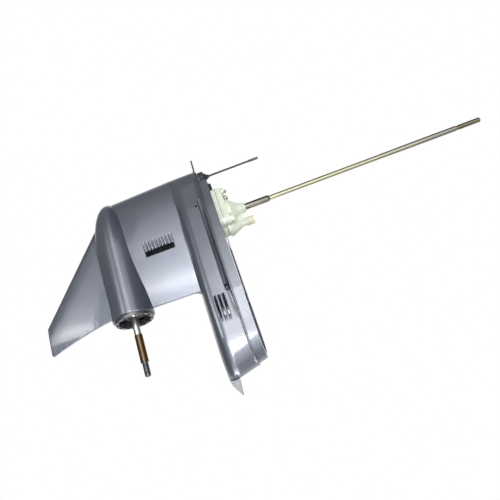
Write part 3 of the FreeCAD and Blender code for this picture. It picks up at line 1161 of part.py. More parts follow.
def pump_plate(z_low, thickness, shaft_hole):
    """Plate of the pump stack with its bolt holes, shaft hole and water port."""
    plate = rounded_plate(PUMP_BOLTS, PUMP_CORNER_RADIUS, z_low, z_low + thickness)
    holes = [tube_z(PUMP_BOLT_HOLE_RADIUS, z_low - 1, z_low + thickness + 1, x=x, y=y) for x, y in PUMP_BOLTS]
    port = tube_z(5.0, z_low - 1, z_low + thickness + 1, x=-4, y=(PUMP_CUP_RADIUS + shaft_hole) / 2)
    return plate.cut(holes + [port, tube_z(shaft_hole, z_low - 1, z_low + thickness + 1)])


def pump_base():
    """Moulded base of the pump, with the recess that takes water from the inlet channel."""
    base = pump_plate(PUMP_BASE_Z, PUMP_BASE_THICKNESS, DRIVESHAFT_RADIUS + 1)
    tongue = slot_prism(0, INLET_AFT_X + 7, INLET_AFT_X - OUTLET_X + 6, PUMP_BASE_Z,
                        PUMP_BASE_Z + PUMP_BASE_THICKNESS)
    recess = slot_prism(INLET_FRONT_X - 14, INLET_AFT_X, (INLET_AFT_X - INLET_FRONT_X) / 2, PUMP_BASE_Z - 1,
                        PUMP_BASE_Z + PUMP_BASE_THICKNESS / 2)
    bore = tube_z(DRIVESHAFT_RADIUS + 1, PUMP_BASE_Z - 1, 2 * PUMP_BASE_THICKNESS)
    return joined([base, tongue.cut(bore)]).cut(recess)


def pump_housing():
    """Moulded pump body: bolted foot, domed chamber with a cone round the shaft, and outlet neck."""
    foot = rounded_plate(PUMP_BOLTS, PUMP_CORNER_RADIUS, PUMP_BODY_Z, PUMP_BODY_TOP_Z - 8)
    bosses = [tube_z(PUMP_BOLT_FLATS * 0.7, PUMP_BODY_Z, PUMP_BODY_TOP_Z - 4, x=x, y=y)
              for x, y in PUMP_BOLTS]
    chamber = tube_z(PUMP_CUP_RADIUS + 7, PUMP_BODY_Z, PUMP_BODY_TOP_Z)
    cone_profile = [(0, PUMP_BODY_TOP_Z - 3), (PUMP_CONE_BASE_RADIUS + 2, PUMP_BODY_TOP_Z - 3),
                    (PUMP_CONE_BASE_RADIUS, PUMP_BODY_TOP_Z + 3),
                    (PUMP_CONE_BASE_RADIUS * 0.62, PUMP_BODY_TOP_Z + 17),
                    (PUMP_CONE_TOP_RADIUS + 1, PUMP_CONE_TOP_Z - 4), (PUMP_CONE_TOP_RADIUS, PUMP_CONE_TOP_Z),
                    (0, PUMP_CONE_TOP_Z)]
    cone = turned_z(cone_profile)
    neck = tube_z(OUTLET_RADIUS, PUMP_BODY_Z, OUTLET_TOP_Z, x=OUTLET_X)
    elbow = Part.makeCone(SUMP_RADIUS, OUTLET_RADIUS, 30, V(OUTLET_X, 0, PUMP_BODY_TOP_Z - 12), AXIS_Z)
    sump = tube_z(SUMP_RADIUS, PUMP_BODY_Z, PUMP_BODY_TOP_Z - 12, x=OUTLET_X)
    web = block(0, OUTLET_X, -2.5, 2.5, PUMP_BODY_TOP_Z, OUTLET_TOP_Z - GROMMET_OVERLAP - 1)
    body = joined([foot, chamber, cone, neck, elbow, sump, web] + bosses)
    cup = tube_z(PUMP_CUP_RADIUS + PUMP_CUP_WALL + SEAT_CLEARANCE, PUMP_BODY_Z - 1,
                 CUP_TOP_Z + SEAT_CLEARANCE)
    shaft = tube_z(DRIVESHAFT_PUMP_RADIUS + 1.0, 0, PUMP_CONE_TOP_Z + 1)
    seal = tube_z(DRIVESHAFT_PUMP_RADIUS + 2.4, PUMP_CONE_TOP_Z - 6, PUMP_CONE_TOP_Z + 1)
    holes = [tube_z(PUMP_BOLT_HOLE_RADIUS, 0, PUMP_BODY_TOP_Z, x=x, y=y) for x, y in PUMP_BOLTS]
    outlet = tube_z(OUTLET_BORE_RADIUS, PUMP_BODY_TOP_Z - 16, OUTLET_TOP_Z + 1, x=OUTLET_X)
    crossing_x = PUMP_CUP_RADIUS - 3
    crossing = Part.makeCylinder(OUTLET_BORE_RADIUS, OUTLET_X - crossing_x,
                                 V(crossing_x, 0, PUMP_BODY_TOP_Z - 12), AXIS_X)
    web_hole = Part.makeCylinder(3.0, 10, V(OUTLET_X / 2 + 3, -5, PUMP_BODY_TOP_Z + 4), AXIS_Y)
    return body.cut(holes + [cup, shaft, seal, outlet, crossing, web_hole])


def pump_cup():
    """Stainless liner that the impeller runs in."""
    outer = PUMP_CUP_RADIUS + PUMP_CUP_WALL
    cup = tube_z(outer, PUMP_BODY_Z, CUP_TOP_Z).cut(tube_z(PUMP_CUP_RADIUS, PUMP_BODY_Z - 1,
                                                           CUP_TOP_Z - PUMP_CUP_WALL))
    port = Part.makeCylinder(OUTLET_BORE_RADIUS, 20, V(PUMP_CUP_RADIUS - 4, 0, PUMP_BODY_TOP_Z - 12), AXIS_X)
    return cup.cut([tube_z(DRIVESHAFT_PUMP_RADIUS + 3, PUMP_BODY_Z, CUP_TOP_Z + 1), port])


def pump_bolts():
    """Bolts that hold the pump, with their washers."""
    seat = PUMP_BODY_TOP_Z - 4
    bolts = []
    for x, y in PUMP_BOLTS:
        shank = tube_z(PUMP_BOLT_RADIUS - SEAT_CLEARANCE, -PUMP_BOLT_GRIP, seat + 2, x=x, y=y)
        washer = tube_z(PUMP_BOLT_FLATS * 0.64, seat, seat + 1.4, x=x, y=y)
        bolts.append(joined([shank, washer, hexagon(PUMP_BOLT_FLATS, PUMP_BOLT_HEAD, x, y, seat + 1.4)]))
    return Part.makeCompound(bolts)


def seal_housing():
    """Housing of the driveshaft seals, set into the deck under the pump."""
    seal = DRIVESHAFT_RADIUS + RUNNING_CLEARANCE + SEAL_WALL + SEAT_CLEARANCE
    low = UPPER_BEARING_TOP_Z + 0.3
    seal_low = -SEAL_FLANGE - 2 * SEAL_THICKNESS
    return turned_z([(DRIVESHAFT_RADIUS + 4, low), (SEAL_HOUSING_RADIUS, low),
                     (SEAL_HOUSING_RADIUS, -SEAL_FLANGE),
                     (SEAL_FLANGE_RADIUS, -SEAL_FLANGE), (SEAL_FLANGE_RADIUS, -DECK_DROP),
                     (seal, -DECK_DROP), (seal, seal_low),
                     (DRIVESHAFT_RADIUS + 4, seal_low)])


def driveshaft_seals():
    """Two lip seals round the driveshaft."""
    bore = DRIVESHAFT_RADIUS + RUNNING_CLEARANCE
    seals = []
    for i in (1, 2):
        low = -SEAL_FLANGE - i * SEAL_THICKNESS
        seals.append(turned_z([(bore + SEAL_WALL, low), (bore + 1.5, low), (bore + 1.5, low + 3.4),
                               (bore, low + 4.4),
                               (bore, low + SEAL_THICKNESS - 0.1),
                               (bore + SEAL_WALL, low + SEAL_THICKNESS - 0.1)]))
    return Part.makeCompound(seals)


def shift_boot():
    """Rubber boot over the shift rod, on the lowered front of the deck."""
    radius = BOOT_WIDTH / 2 - 2
    low = BOOT_SEAT_Z + RETAINER_THICKNESS
    top = BOOT_SEAT_Z + BOOT_HEIGHT
    half = (BOOT_LENGTH - 2 * radius) / 2
    base = rounded_plate([(SHIFT_ROD_X - half - 0.1, -2), (SHIFT_ROD_X + half + 0.1, -2),
                          (SHIFT_ROD_X + half + 0.1, 2),
                          (SHIFT_ROD_X - half - 0.1, 2)], radius, low, top - 4)
    shoulder = Part.makeCone(radius - 1, 8, 8, V(SHIFT_ROD_X, 0, top - 5), AXIS_Z)
    neck = Part.makeCone(8, SHIFT_ROD_RADIUS + 1.6, BOOT_CONE_TOP_Z - top + 1, V(SHIFT_ROD_X, 0, top - 1),
                         AXIS_Z)
    bore = tube_z(SHIFT_ROD_RADIUS + RUNNING_CLEARANCE, BOOT_CONE_TOP_Z - 4, BOOT_CONE_TOP_Z + 1,
                  x=SHIFT_ROD_X)
    hollow = tube_z(SHIFT_ROD_LOWER_RADIUS + 1, low - 1, BOOT_CONE_TOP_Z - 4, x=SHIFT_ROD_X)
    return joined([base, shoulder, neck]).cut([bore, hollow])


def boot_retainer():
    """Steel plate under the boot, held by two screws."""
    half = BOOT_WIDTH / 2 - 6
    plate = rounded_plate([(SHIFT_ROD_X - 6, -half), (SHIFT_ROD_X + 9, -half), (SHIFT_ROD_X + 9, half),
                           (SHIFT_ROD_X - 6, half)],
                          5, BOOT_SEAT_Z, BOOT_SEAT_Z + RETAINER_THICKNESS)
    return plate.cut(tube_z(SHIFT_ROD_LOWER_RADIUS + 1, BOOT_SEAT_Z - 1, 0, x=SHIFT_ROD_X))


def anode_tab():
    """Trim tab: a root in the pocket of the plate and a fin that follows the tail and sweeps aft."""
    root = TAB_ROOT_WIDTH / 2
    top = PLATE_UNDER_Z + TAB_ROOT_HEIGHT - SEAT_CLEARANCE
    plate = block(TAB_FRONT_X, TAB_ROOT_AFT_X, -root, root, PLATE_UNDER_Z, top)
    half = TAB_THICKNESS / 2
    fin_start = tab_bolt_x() + TAB_BOLT_RADIUS + 6
    foot = PLATE_UNDER_Z - TAB_DROP
    tail_end = tail_x(PLATE_UNDER_Z) - BOX_ROUND_INSET * TAIL_ROUND_SHARE
    side = [(fin_start, PLATE_UNDER_Z + 1), (fin_start, foot), (tail_end, foot), (TAB_HEEL_X, TAB_HEEL_Z),
            (TAB_TIP_X, TAB_TIP_Z - 1), (TAB_TIP_X - 1, TAB_TIP_Z + 1)]
    levels = [BOX_ROUND_TOP_Z - (BOX_ROUND_TOP_Z - PLATE_UNDER_Z) * math.sin(math.radians(15 * i))
              for i in range(7)]
    for z in [TAB_TOP_Z] + levels:
        side.append((tail_x(z) - under_edge_inset(z) * TAIL_ROUND_SHARE + TAB_GAP, z))
    side += [(tail_end, PLATE_UNDER_Z - TAB_GAP), (TAB_ROOT_AFT_X, PLATE_UNDER_Z - TAB_GAP),
             (TAB_ROOT_AFT_X - 1, PLATE_UNDER_Z + 1)]
    fin = prism([V(x, -half, z) for x, z in side], V(0, TAB_THICKNESS, 0))
    hole = tube_z(TAB_BOLT_RADIUS + 0.4, PLATE_UNDER_Z - 5, top + 1, x=tab_bolt_x())
    sink = tube_z(TAB_BOLT_RADIUS + 4, PLATE_UNDER_Z - 5, PLATE_UNDER_Z + 4, x=tab_bolt_x())
    return joined([plate, fin]).cut([hole, sink])


def tab_bolt():
    """Bolt of the trim tab, sunk into its root."""
    x = tab_bolt_x()
    head = tube_z(TAB_BOLT_RADIUS + 3.4, PLATE_UNDER_Z + 0.5, PLATE_UNDER_Z + 4, x=x)
    shank = tube_z(TAB_BOLT_RADIUS - SEAT_CLEARANCE, PLATE_UNDER_Z + 3, CAVITY_FLOOR_Z - 4, x=x)
    return joined([head, shank])


def plug(place):
    """Oil plug with a slotted head, and its gasket."""
    x, y, z = place
    seat = y + PLUG_GASKET_THICKNESS
    shank = Part.makeCylinder(PLUG_RADIUS - SEAT_CLEARANCE, PLUG_LENGTH, V(x, y - PLUG_LENGTH + 1.5, z),
                              AXIS_Y)
    head = Part.makeCylinder(PLUG_HEAD_RADIUS, PLUG_HEAD_HEIGHT, V(x, seat, z), AXIS_Y)
    slot = block(x - PLUG_HEAD_RADIUS, x + PLUG_HEAD_RADIUS, seat + PLUG_HEAD_HEIGHT - 1.5,
                 seat + PLUG_HEAD_HEIGHT + 1,
                 z - 1, z + 1)
    gasket = Part.makeCylinder(PLUG_HEAD_RADIUS - 0.5, PLUG_GASKET_THICKNESS, V(x, y, z), AXIS_Y)
    gasket = gasket.cut(Part.makeCylinder(PLUG_RADIUS, 3 * PLUG_GASKET_THICKNESS, V(x, y - 1, z), AXIS_Y))
    return joined([shank, head]).cut(slot), gasket


def inlet_screen():
    """Moulded screen that fits inside the starboard water inlet."""
    middle = STRUT_HALF_WIDTH - SCREEN_DEPTH
    screen = inlet_prism(SCREEN_CLEARANCE, middle, middle + SCREEN_THICKNESS)
    height = INLET_TOP_Z - INLET_BOTTOM_Z
    pitch = height / (SCREEN_BARS + 1)
    gaps = [block(INLET_FRONT_X + 3, INLET_AFT_X - 3, middle - 1, middle + SCREEN_THICKNESS + 1,
                  INLET_BOTTOM_Z + pitch * i - SCREEN_BAR_GAP / 2,
                  INLET_BOTTOM_Z + pitch * i + SCREEN_BAR_GAP / 2)
            for i in range(1, SCREEN_BARS + 1)]
    return screen.cut(gaps)


def deck_pad():
    """Black pad on the deck in front of the pump."""
    along = DECK_PAD_LENGTH / 2 - DECK_PAD_CORNER
    across = DECK_PAD_WIDTH / 2 - DECK_PAD_CORNER
    corners = [(DECK_PAD_X - along, -across), (DECK_PAD_X + along, -across), (DECK_PAD_X + along, across),
               (DECK_PAD_X - along, across)]
    return rounded_plate(corners, DECK_PAD_CORNER, -DECK_DROP, DECK_PAD_HEIGHT)


def round_ring(middle, radius, x):
    """Ring of eight-sided section round the propeller shaft axis, for a ring seal or a spring."""
    turns = [math.radians(22.5 + 45 * i) for i in range(8)]
    return turned_x([(x + radius * math.cos(t), middle + radius * math.sin(t)) for t in turns])


def build_pieces():
    """Every piece of the lower unit, by name."""
    pieces = {"gearcase_housing": gearcase_housing()}
    port, starboard = both_sides(inlet_screen())[::-1]
    pieces["inlet_screen_port"] = port
    pieces["inlet_screen_starboard"] = starboard
    drain, level = plug_places()
    pieces["drain_plug"], pieces["drain_plug_gasket"] = plug(drain)
    pieces["level_plug"], pieces["level_plug_gasket"] = plug(level)
    pieces["anode_tab"] = anode_tab()
    pieces["tab_bolt"] = tab_bolt()

    pieces["bearing_carrier"] = bearing_carrier()
    seal_middle = CASE_BORE_RADIUS - SEAT_CLEARANCE - CARRIER_ORING_RADIUS
    pieces["carrier_ring_seal"] = round_ring(seal_middle, CARRIER_ORING_RADIUS - 0.1, oring_x())
    pieces["tab_washer"] = tab_washer()
    pieces["carrier_ring_nut"] = carrier_ring_nut()
    bore = PROPSHAFT_RADIUS + RUNNING_CLEARANCE
    pieces["propshaft_needle_bearing"] = tube_x(bore + NEEDLE_WALL, carrier_needle_x(),
                                                carrier_seal_x() - 0.3, inner=bore)
    pieces["propshaft_seals"] = Part.makeCompound([seal_ring_x(carrier_seal_x() + 0.3),
                                                   seal_ring_x(carrier_seal_x() + SEAL_THICKNESS + 0.5)])
    outer_ring, inner_ring = ball_bearing(GEAR_HUB_RADIUS + SEAT_CLEARANCE, REVERSE_CUP_RADIUS,
                                          REVERSE_BEARING_WIDTH,
                                          REVERSE_BALLS, CARRIER_FRONT_X)
    pieces["reverse_bearing_outer"] = outer_ring
    pieces["reverse_bearing_inner"] = inner_ring
    cup, cone = roller_bearing(GEAR_HUB_RADIUS + SEAT_CLEARANCE, FORWARD_CUP_RADIUS, FORWARD_BEARING_WIDTH,
                               FORWARD_ROLLERS, 0)
    pieces["forward_bearing_cup"] = onto_prop_axis(cup, 1, FORWARD_BEARING_FRONT_X)
    pieces["forward_bearing_cone"] = onto_prop_axis(cone, 1, FORWARD_BEARING_FRONT_X)

    needle = DRIVESHAFT_RADIUS + RUNNING_CLEARANCE
    pieces["driveshaft_needle_bearing"] = tube_z(needle + NEEDLE_WALL, NEEDLE_LOW_Z,
                                                 NEEDLE_LOW_Z + DRIVESHAFT_NEEDLE_LENGTH,
                                                 inner=needle)
    cup, cone = roller_bearing(DRIVESHAFT_RADIUS + SEAT_CLEARANCE, UPPER_CUP_RADIUS, UPPER_BEARING_WIDTH,
                               UPPER_ROLLERS, UPPER_BEARING_TOP_Z - UPPER_BEARING_WIDTH)
    pieces["upper_bearing_cup"] = cup
    pieces["upper_bearing_cone"] = cone
    pieces["seal_housing"] = seal_housing()
    pieces["driveshaft_seals"] = driveshaft_seals()

    pieces["driveshaft"] = driveshaft()
    pieces["pinion_gear"] = pinion_gear()
    pieces["pinion_nut"] = hexagon(PINION_NUT_FLATS, PINION_NUT_HEIGHT, 0, 0,
                                   PINION_TOE_Z - PINION_NUT_HEIGHT).cut(
        tube_z(PINION_THREAD_RADIUS + SEAT_CLEARANCE, PINION_TOE_Z - 2 * PINION_NUT_HEIGHT, PINION_TOE_Z + 1))
    pieces["forward_gear"] = face_gear(-1)
    pieces["reverse_gear"] = face_gear(1)

    pieces["propshaft"] = propshaft()
    pieces["clutch_dog"] = clutch_dog()
    pieces["cross_pin"] = cross_pin()
    pieces["pin_spring"] = pin_spring()
    pieces["shift_plunger"] = shift_plunger()
    pieces["shift_slider"] = shift_slider()
    pieces["shift_crank"] = shift_crank()
    pieces["shift_rod"] = shift_rod()
    pieces["shift_rod_bush"] = tube_z(SHIFT_BUSH_RADIUS, BOOT_SEAT_Z - SHIFT_BUSH_LENGTH, BOOT_SEAT_Z,
                                      inner=SHIFT_ROD_LOWER_RADIUS + RUNNING_CLEARANCE, x=SHIFT_ROD_X)
    pieces["boot_retainer"] = boot_retainer()
    pieces["shift_boot"] = shift_boot()

    pieces["pump_base_gasket"] = pump_plate(-DECK_DROP, GASKET_THICKNESS, SEAL_FLANGE_RADIUS - 6)
    pieces["pump_base"] = pump_base()
    pieces["wear_plate_lower_gasket"] = pump_plate(WEAR_PLATE_Z - GASKET_THICKNESS, GASKET_THICKNESS,
                                                   DRIVESHAFT_RADIUS + 1)
    pieces["wear_plate"] = pump_plate(WEAR_PLATE_Z, WEAR_PLATE_THICKNESS, DRIVESHAFT_PUMP_RADIUS + 2)
    pieces["wear_plate_upper_gasket"] = pump_plate(WEAR_PLATE_Z + WEAR_PLATE_THICKNESS, GASKET_THICKNESS,
                                                   PUMP_CUP_RADIUS)
    pieces["pump_housing"] = pump_housing()
    pieces["pump_cup"] = pump_cup()
    pieces["pump_bolts"] = pump_bolts()
    pieces["pump_shaft_seal"] = tube_z(DRIVESHAFT_PUMP_RADIUS + 2.3, PUMP_CONE_TOP_Z - 5.9,
                                       PUMP_CONE_TOP_Z - 0.4,
                                       inner=DRIVESHAFT_PUMP_RADIUS + RUNNING_CLEARANCE)
    pieces["water_tube_grommet"] = tube_z(OUTLET_RADIUS + GROMMET_WALL, OUTLET_TOP_Z - GROMMET_OVERLAP,
                                          GROMMET_TOP_Z,
                                          x=OUTLET_X).cut([
        tube_z(OUTLET_RADIUS + SEAT_CLEARANCE, OUTLET_TOP_Z - GROMMET_OVERLAP - 1, OUTLET_TOP_Z, x=OUTLET_X),
        tube_z(GROMMET_BORE_RADIUS, OUTLET_TOP_Z - 1, GROMMET_TOP_Z + 1, x=OUTLET_X)])
    pieces["impeller"] = impeller()
    pieces["impeller_key"] = key_block(0.0)
    pieces["deck_pad"] = deck_pad()
    return pieces


def save(pieces):
    """Move the pieces to the origin and write one file for each."""
    os.makedirs("parts", exist_ok=True)
    for name, shape in pieces.items():
        placed = shape.translated(V(-ORIGIN_X, 0, 0))
        placed.exportStep(os.path.join("parts", name + ".step"))
        solids = placed.Solids
        print(name, len(solids), "solids", round(sum(s.Volume for s in solids)), "mm3", placed.isValid())


save(build_pieces())
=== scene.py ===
import math

import bpy
from mathutils import Matrix, Vector


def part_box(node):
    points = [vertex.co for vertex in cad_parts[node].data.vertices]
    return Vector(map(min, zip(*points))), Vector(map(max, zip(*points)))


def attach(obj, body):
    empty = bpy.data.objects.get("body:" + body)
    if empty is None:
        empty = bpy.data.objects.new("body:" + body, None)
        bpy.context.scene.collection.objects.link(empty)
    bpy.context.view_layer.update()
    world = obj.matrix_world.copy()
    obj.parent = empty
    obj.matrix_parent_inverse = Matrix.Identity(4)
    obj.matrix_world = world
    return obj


bl_info = {
    "name": "Outboard Lower Unit Looks",
    "version": (1, 0, 0),
    "blender": (4, 5, 0),
    "location": "View3D > Sidebar > Lower Unit",
    "description": "Paint, metal, moulding and small details of an outboard lower unit, with its studio",
    "category": "Object",
}

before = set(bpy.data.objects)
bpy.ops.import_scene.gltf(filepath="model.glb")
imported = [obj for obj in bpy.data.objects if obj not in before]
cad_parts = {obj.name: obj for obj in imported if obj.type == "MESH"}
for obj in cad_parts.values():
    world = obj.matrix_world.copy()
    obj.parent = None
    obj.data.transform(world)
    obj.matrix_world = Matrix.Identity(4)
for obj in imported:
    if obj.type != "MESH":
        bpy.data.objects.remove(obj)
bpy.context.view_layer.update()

# Places that the details share, read from the solid parts, in metres
SHAFT_TOP_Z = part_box("driveshaft")[1].z
PROP_LOW, PROP_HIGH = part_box("propshaft")
PROP_Z = (PROP_LOW.z + PROP_HIGH.z) / 2
CASE_LOW_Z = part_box("gearcase_housing")[0].z
ROD_TOP_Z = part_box("shift_rod")[1].z
PUMP_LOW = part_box("pump_housing")[0]
DECK_Z = 0.0

# The casting's relief, which is shading only, in metres, and the power that its curves rise by
CASTING_CORNER = 0.004
PAINT_WAVE = 0.00010
LIP_Z = -0.027
SOFT_CORNER_TOP_Z = LIP_Z + 0.003
SHARP_CORNER_LOW_Z = LIP_Z + 0.004
LIP_FLARE_HEIGHT = 0.012
LIP_FLARE_OUT = 0.004
LIP_FLARE_END_X = 0.16
LIP_FLARE_FADE = 0.08
ROLL_LOW_Z = -0.097
ROLL_HIGH_Z = -0.069
ROLL_OUT = 0.008
RELIEF_POWER = 2.0

# The machined deck face: the heights in metres where it starts, how level it has to be, and its marks
DECK_FACE_Z = (-0.0012, -0.0004)
DECK_FACE_LEVEL = (0.97, 0.999)
DECK_MARK_STRETCH = (40, 900, 1)

# The web at the strut's tail, in metres, its steps, and the share of its half width that is rounded
STRUT_TAIL_X = 0.0345
PLATE_Z = -0.100
WEB_SEAT = 0.003
WEB_HALF_WIDTH = 0.0024
WEB_STEPS = 16
WEB_ROUNDING = 0.6

# Bands of the propeller shaft, measured forward from its aft end, in metres
LAND_END = 0.110
SPLINE_START = 0.106
SPLINE_END = 0.037
THREAD_START = 0.034
THREAD_END = 0.002

# The thread: its seat's radius in metres, then shares of its depth and of its pitch
THREAD_SEAT = 0.00725
THREAD_SUNK = 0.2
THREAD_PROUD = 0.5
THREAD_CREST_HALF = 0.12

# Bands of the driveshaft and the shift rod, as heights above the deck, in metres
JOURNAL_TOP_Z = 0.135
OILED_LOW_Z = 0.145
OILED_HIGH_Z = 0.40
GREY_LOW_Z = 0.60
GREY_HIGH_Z = 0.66
TIP_LOW_Z = 0.668
ROD_MIDDLE_Z = 0.12

# The bent pin: its foot from the pump's lower front corner, and its course from the foot, in metres
PIN_INSET = 0.003
PIN_Y = -0.006
PIN_LIFT = 0.001
PIN_COURSE = ((0.0, 0.0, 0.0), (0.0, 0.0, 0.016), (0.001, 0.0, 0.0225),
              (0.006, 0.0, 0.0245), (0.011, 0.0, 0.0205))

# Textures: cells per metre, edges as noise values, shares that show, shades of the own colour, and roughness
NOISE_SPAN = (0.3, 0.7)
FLAKE_CELLS = 2600.0
FLAKE_EDGE = (0.45, 0.62)
DARK_FLAKE_SHADE = 0.88
LIGHT_FLAKE_SHADE = 1.18
PAINT_CLOUD_CELLS = 7.0
PAINT_CLOUD_EDGE = (0.35, 0.65)
PAINT_CLOUD_SHARE = (0.0, 0.35)
PAINT_CLOUD_SHADE = 0.80
PAINT_WAVE_CELLS = 45.0
PAINT_ROUGHNESS = (0.30, 0.38)
METAL_MARK_CELLS = 900.0
METAL_MARK_EDGE = (0.35, 0.7)
METAL_MARK_SHARE = (0.0, 0.4)
METAL_MARK_SHADE = 1.25
METAL_STAIN_CELLS = 28.0
METAL_STAIN_EDGE = (0.42, 0.68)
METAL_STAIN_SHARE = (0.0, 0.55)
METAL_STAIN_SHADE = 0.62
METAL_SPREAD = (-0.08, 0.08)
TAB_MARK_CELLS = 120.0
PLASTIC_CLOUD_CELLS = 35.0
PLASTIC_CLOUD_EDGE = (0.4, 0.65)
PLASTIC_CLOUD_SHARE = (0.0, 0.7)
PLASTIC_GRAIN_CELLS = 420.0
PLASTIC_GLOW_DEPTHS = (0.006, 0.006, 0.003)
PLASTIC_SPREAD = (-0.06, 0.08)
RUBBER_DUST_CELLS = 60.0
RUBBER_DUST_EDGE = (0.45, 0.75)
RUBBER_DUST_SHARE = (0.0, 0.5)
RUBBER_DUST_SHADE = 1.9
RUBBER_GRAIN_CELLS = 700.0
RUBBER_ROUGHNESS = (0.55, 0.75)
PAPER_SHADE = 0.72
OIL_SHADE = 1.08
STREAK_STRETCH = {"X": (5, 60, 60), "Z": (60, 60, 5)}
STREAK_EDGE = (0.45, 0.75)
STREAK_SHARE = (0.0, 0.35)
SHAFT_SPREAD = (-0.04, 0.08)

# Colours that only one finish has, as linear values
FACE_DARK = (0.16, 0.15, 0.09)
FACE_LIGHT = (0.30, 0.29, 0.20)
STREAK_BROWN = (0.16, 0.13, 0.09)
TAB_GREY = (0.27, 0.28, 0.30)
FASTENER_GREY = (0.10, 0.10, 0.11)
# The screens' near black is partly their black plastic and partly painted shade of the deep inlet behind them
SCREEN_BLACK_AND_SHADE = (0.006, 0.006, 0.008)
CARRIER_GREY = (0.085, 0.088, 0.095)
RING_NUT_GREY = (0.16, 0.165, 0.17)
WASHER_GREY = (0.30, 0.30, 0.30)
BEARING_SILVER = (0.50, 0.50, 0.51)
GEAR_GREY = (0.30, 0.29, 0.27)
SEAL_HOUSING_GREY = (0.20, 0.20, 0.21)
BUSH_BRONZE = (0.42, 0.26, 0.11)
PROPSHAFT_SILVER = (0.56, 0.56, 0.55)
PROPSHAFT_THREAD_GREY = (0.10, 0.10, 0.11)
PROPSHAFT_TIP_GREY = (0.12, 0.12, 0.13)
THREAD_GREY = (0.11, 0.11, 0.12)
JOURNAL_BROWN = (0.11, 0.105, 0.09)
DRIVESHAFT_GREY = (0.30, 0.29, 0.25)
DRIVESHAFT_BROWN = (0.22, 0.19, 0.12)
DRIVESHAFT_TIP = (0.34, 0.31, 0.22)
ROD_FOOT = (0.030, 0.030, 0.028)
ROD_MIDDLE = (0.045, 0.042, 0.036)
ROD_TOP = (0.10, 0.09, 0.07)
BOLT_GREY = (0.46, 0.46, 0.43)
PIN_GREY = (0.25, 0.25, 0.24)

# The camera: metres for its place, pixels for its focus and picture, and millimetres for its sensor
CAMERA_PLACE = Vector((0.5462, -1.2721, 0.0716))
CAMERA_RIGHT = Vector((0.31052, 0.15853, 0.93837))
CAMERA_DOWN = Vector((0.85839, 0.37913, -0.34824))
CAMERA_FOCUS_PIXELS = 545.3
FRAME_PIXELS = 500.0
SENSOR_WIDTH = 36.0

# The floor, the backdrop and the world
FLOOR_HALF = 12.0
FLOOR_DROP = 0.45
FLOOR_WHITE = (0.9, 0.9, 0.9, 1)
BACKDROP_WHITE = (1, 1, 1, 1)
WORLD_TINT = (0.93, 0.96, 1.0, 1)
WORLD_STRENGTH = 0.55

# The lamps: name, direction from the part, distance, width and height in metres, and power
STUDIO_MIDDLE = Vector((0.0, 0.0, -0.2))
LAMPS = (
    ("window", (-0.22, -1.0, 0.10), 2.6, 1.3, 1.1, 26.0),
    ("sky_strip", (0.35, -0.25, 1.0), 2.4, 2.2, 0.8, 6.0),
    ("fill", (1.0, -0.55, -0.15), 2.2, 1.5, 1.5, 8.0),
)

# Where the reflecting cards stand, in metres
CARD_REACH = 3.0
CARD_BACK_Y = 0.6
CARD_STERN_Y = 2.0
CARD_HIGH_Z = 2.4
CARD_LIFT = 0.02
CARD_LOW_Z = CASE_LOW_Z - FLOOR_DROP + CARD_LIFT
CARD_NEAR_Y = CARD_LIFT - CARD_REACH
CARD_SIDE_X = CARD_REACH - 2 * CARD_LIFT
PANE_X = -0.87
PANE_LOW_Z = -0.47
PANE_HIGH_Z = 0.09
BOW_PANE_X = -2.6
BOW_PANE_LOW_Z = -0.35
LOW_PANE_X = (-1.4, -0.25)
LOW_PANE_Y = (-1.62, -0.7)
SHAFT_CARD_X = -2.2
SHAFT_CARD_LOW_Z = 0.1
SHAFT_CARD_BACK_Y = -0.5
TAIL_CARD_X = 0.35
TAIL_CARD_LOW_Z = -0.5
TAIL_CARD_HIGH_Z = -0.05

# How bright the cards are, what share is left where they fade, and the two places between which they fade
CARD_STRENGTH = 15.0
CARD_TAIL_STRENGTH = 24.0
CARD_SHAFT_STRENGTH = 2.5
CARD_DARK = 0.05
CARD_FADE = (-0.15, 0.25)
LOW_PANE_FADE = (-1.1, -0.7)
SHAFT_FADE = (1.7, 2.4)
TAIL_FADE = (-0.2, 0.2)
STERN_FADE = (0.0, 0.35)

# Shades along the cards, as (place, shade)
FRONT_SHADES = ((-3.0, 0.08), (-2.2, 0.12), (-1.7, 0.17), (-0.95, 0.25), (-0.65, 0.15), (-0.3, 0.23),
                (0.1, 0.37), (0.5, 0.7), (0.9, 0.3), (3.0, 0.2))
PANE_SHADES = ((-0.87, 0.55), (-0.8, 0.68), (-0.1, 0.72), (0.4, 0.85), (0.9, 0.3), (3.0, 0.2))
BOW_PANE_SHADES = ((-2.6, 0.14), (-1.7, 0.27), (-0.87, 0.38))
LOW_SHADES = ((-3.0, 0.02), (0.0, 0.014), (3.0, 0.02))
LOW_PANE_SHADES = ((-1.4, 0.035), (-0.9, 0.09), (-0.6, 0.15), (-0.42, 0.3), (-0.33, 0.85), (-0.25, 0.5))
TOP_SHADES = ((-3.0, 0.4), (-1.5, 0.2), (0.6, 0.2))
BOW_SHADES = ((-3.0, 0.08), (-1.5, 0.02), (0.6, 0.02))
SHAFT_SHADES = ((-2.2, 0.2), (-1.2, 0.85), (1.0, 1.0), (3.0, 0.9))
SHAFT_SIDE_SHADES = ((-3.0, 0.9), (-1.2, 0.7), (-0.5, 0.2))
TAIL_SHADES = ((0.35, 0.75), (0.6, 1.0), (1.8, 1.0), (2.6, 0.5), (3.0, 0.35))
TAIL_SIDE_SHADES = ((-3.0, 0.35), (-1.6, 0.18), (-0.8, 0.1), (0.0, 0.2), (0.7, 0.6), (2.0, 0.6))
STERN_SHADES = ((-3.0, 0.2), (-0.6, 0.2), (0.0, 0.3), (2.0, 0.4))


# Small tools for node trees

def empty_material(name):
    """Material with nothing but its output; returns the material, its node tree and the output."""
    material = bpy.data.materials.new(name)
    material.use_nodes = True
    tree = material.node_tree
    tree.nodes.clear()
    return material, tree, tree.nodes.new("ShaderNodeOutputMaterial")


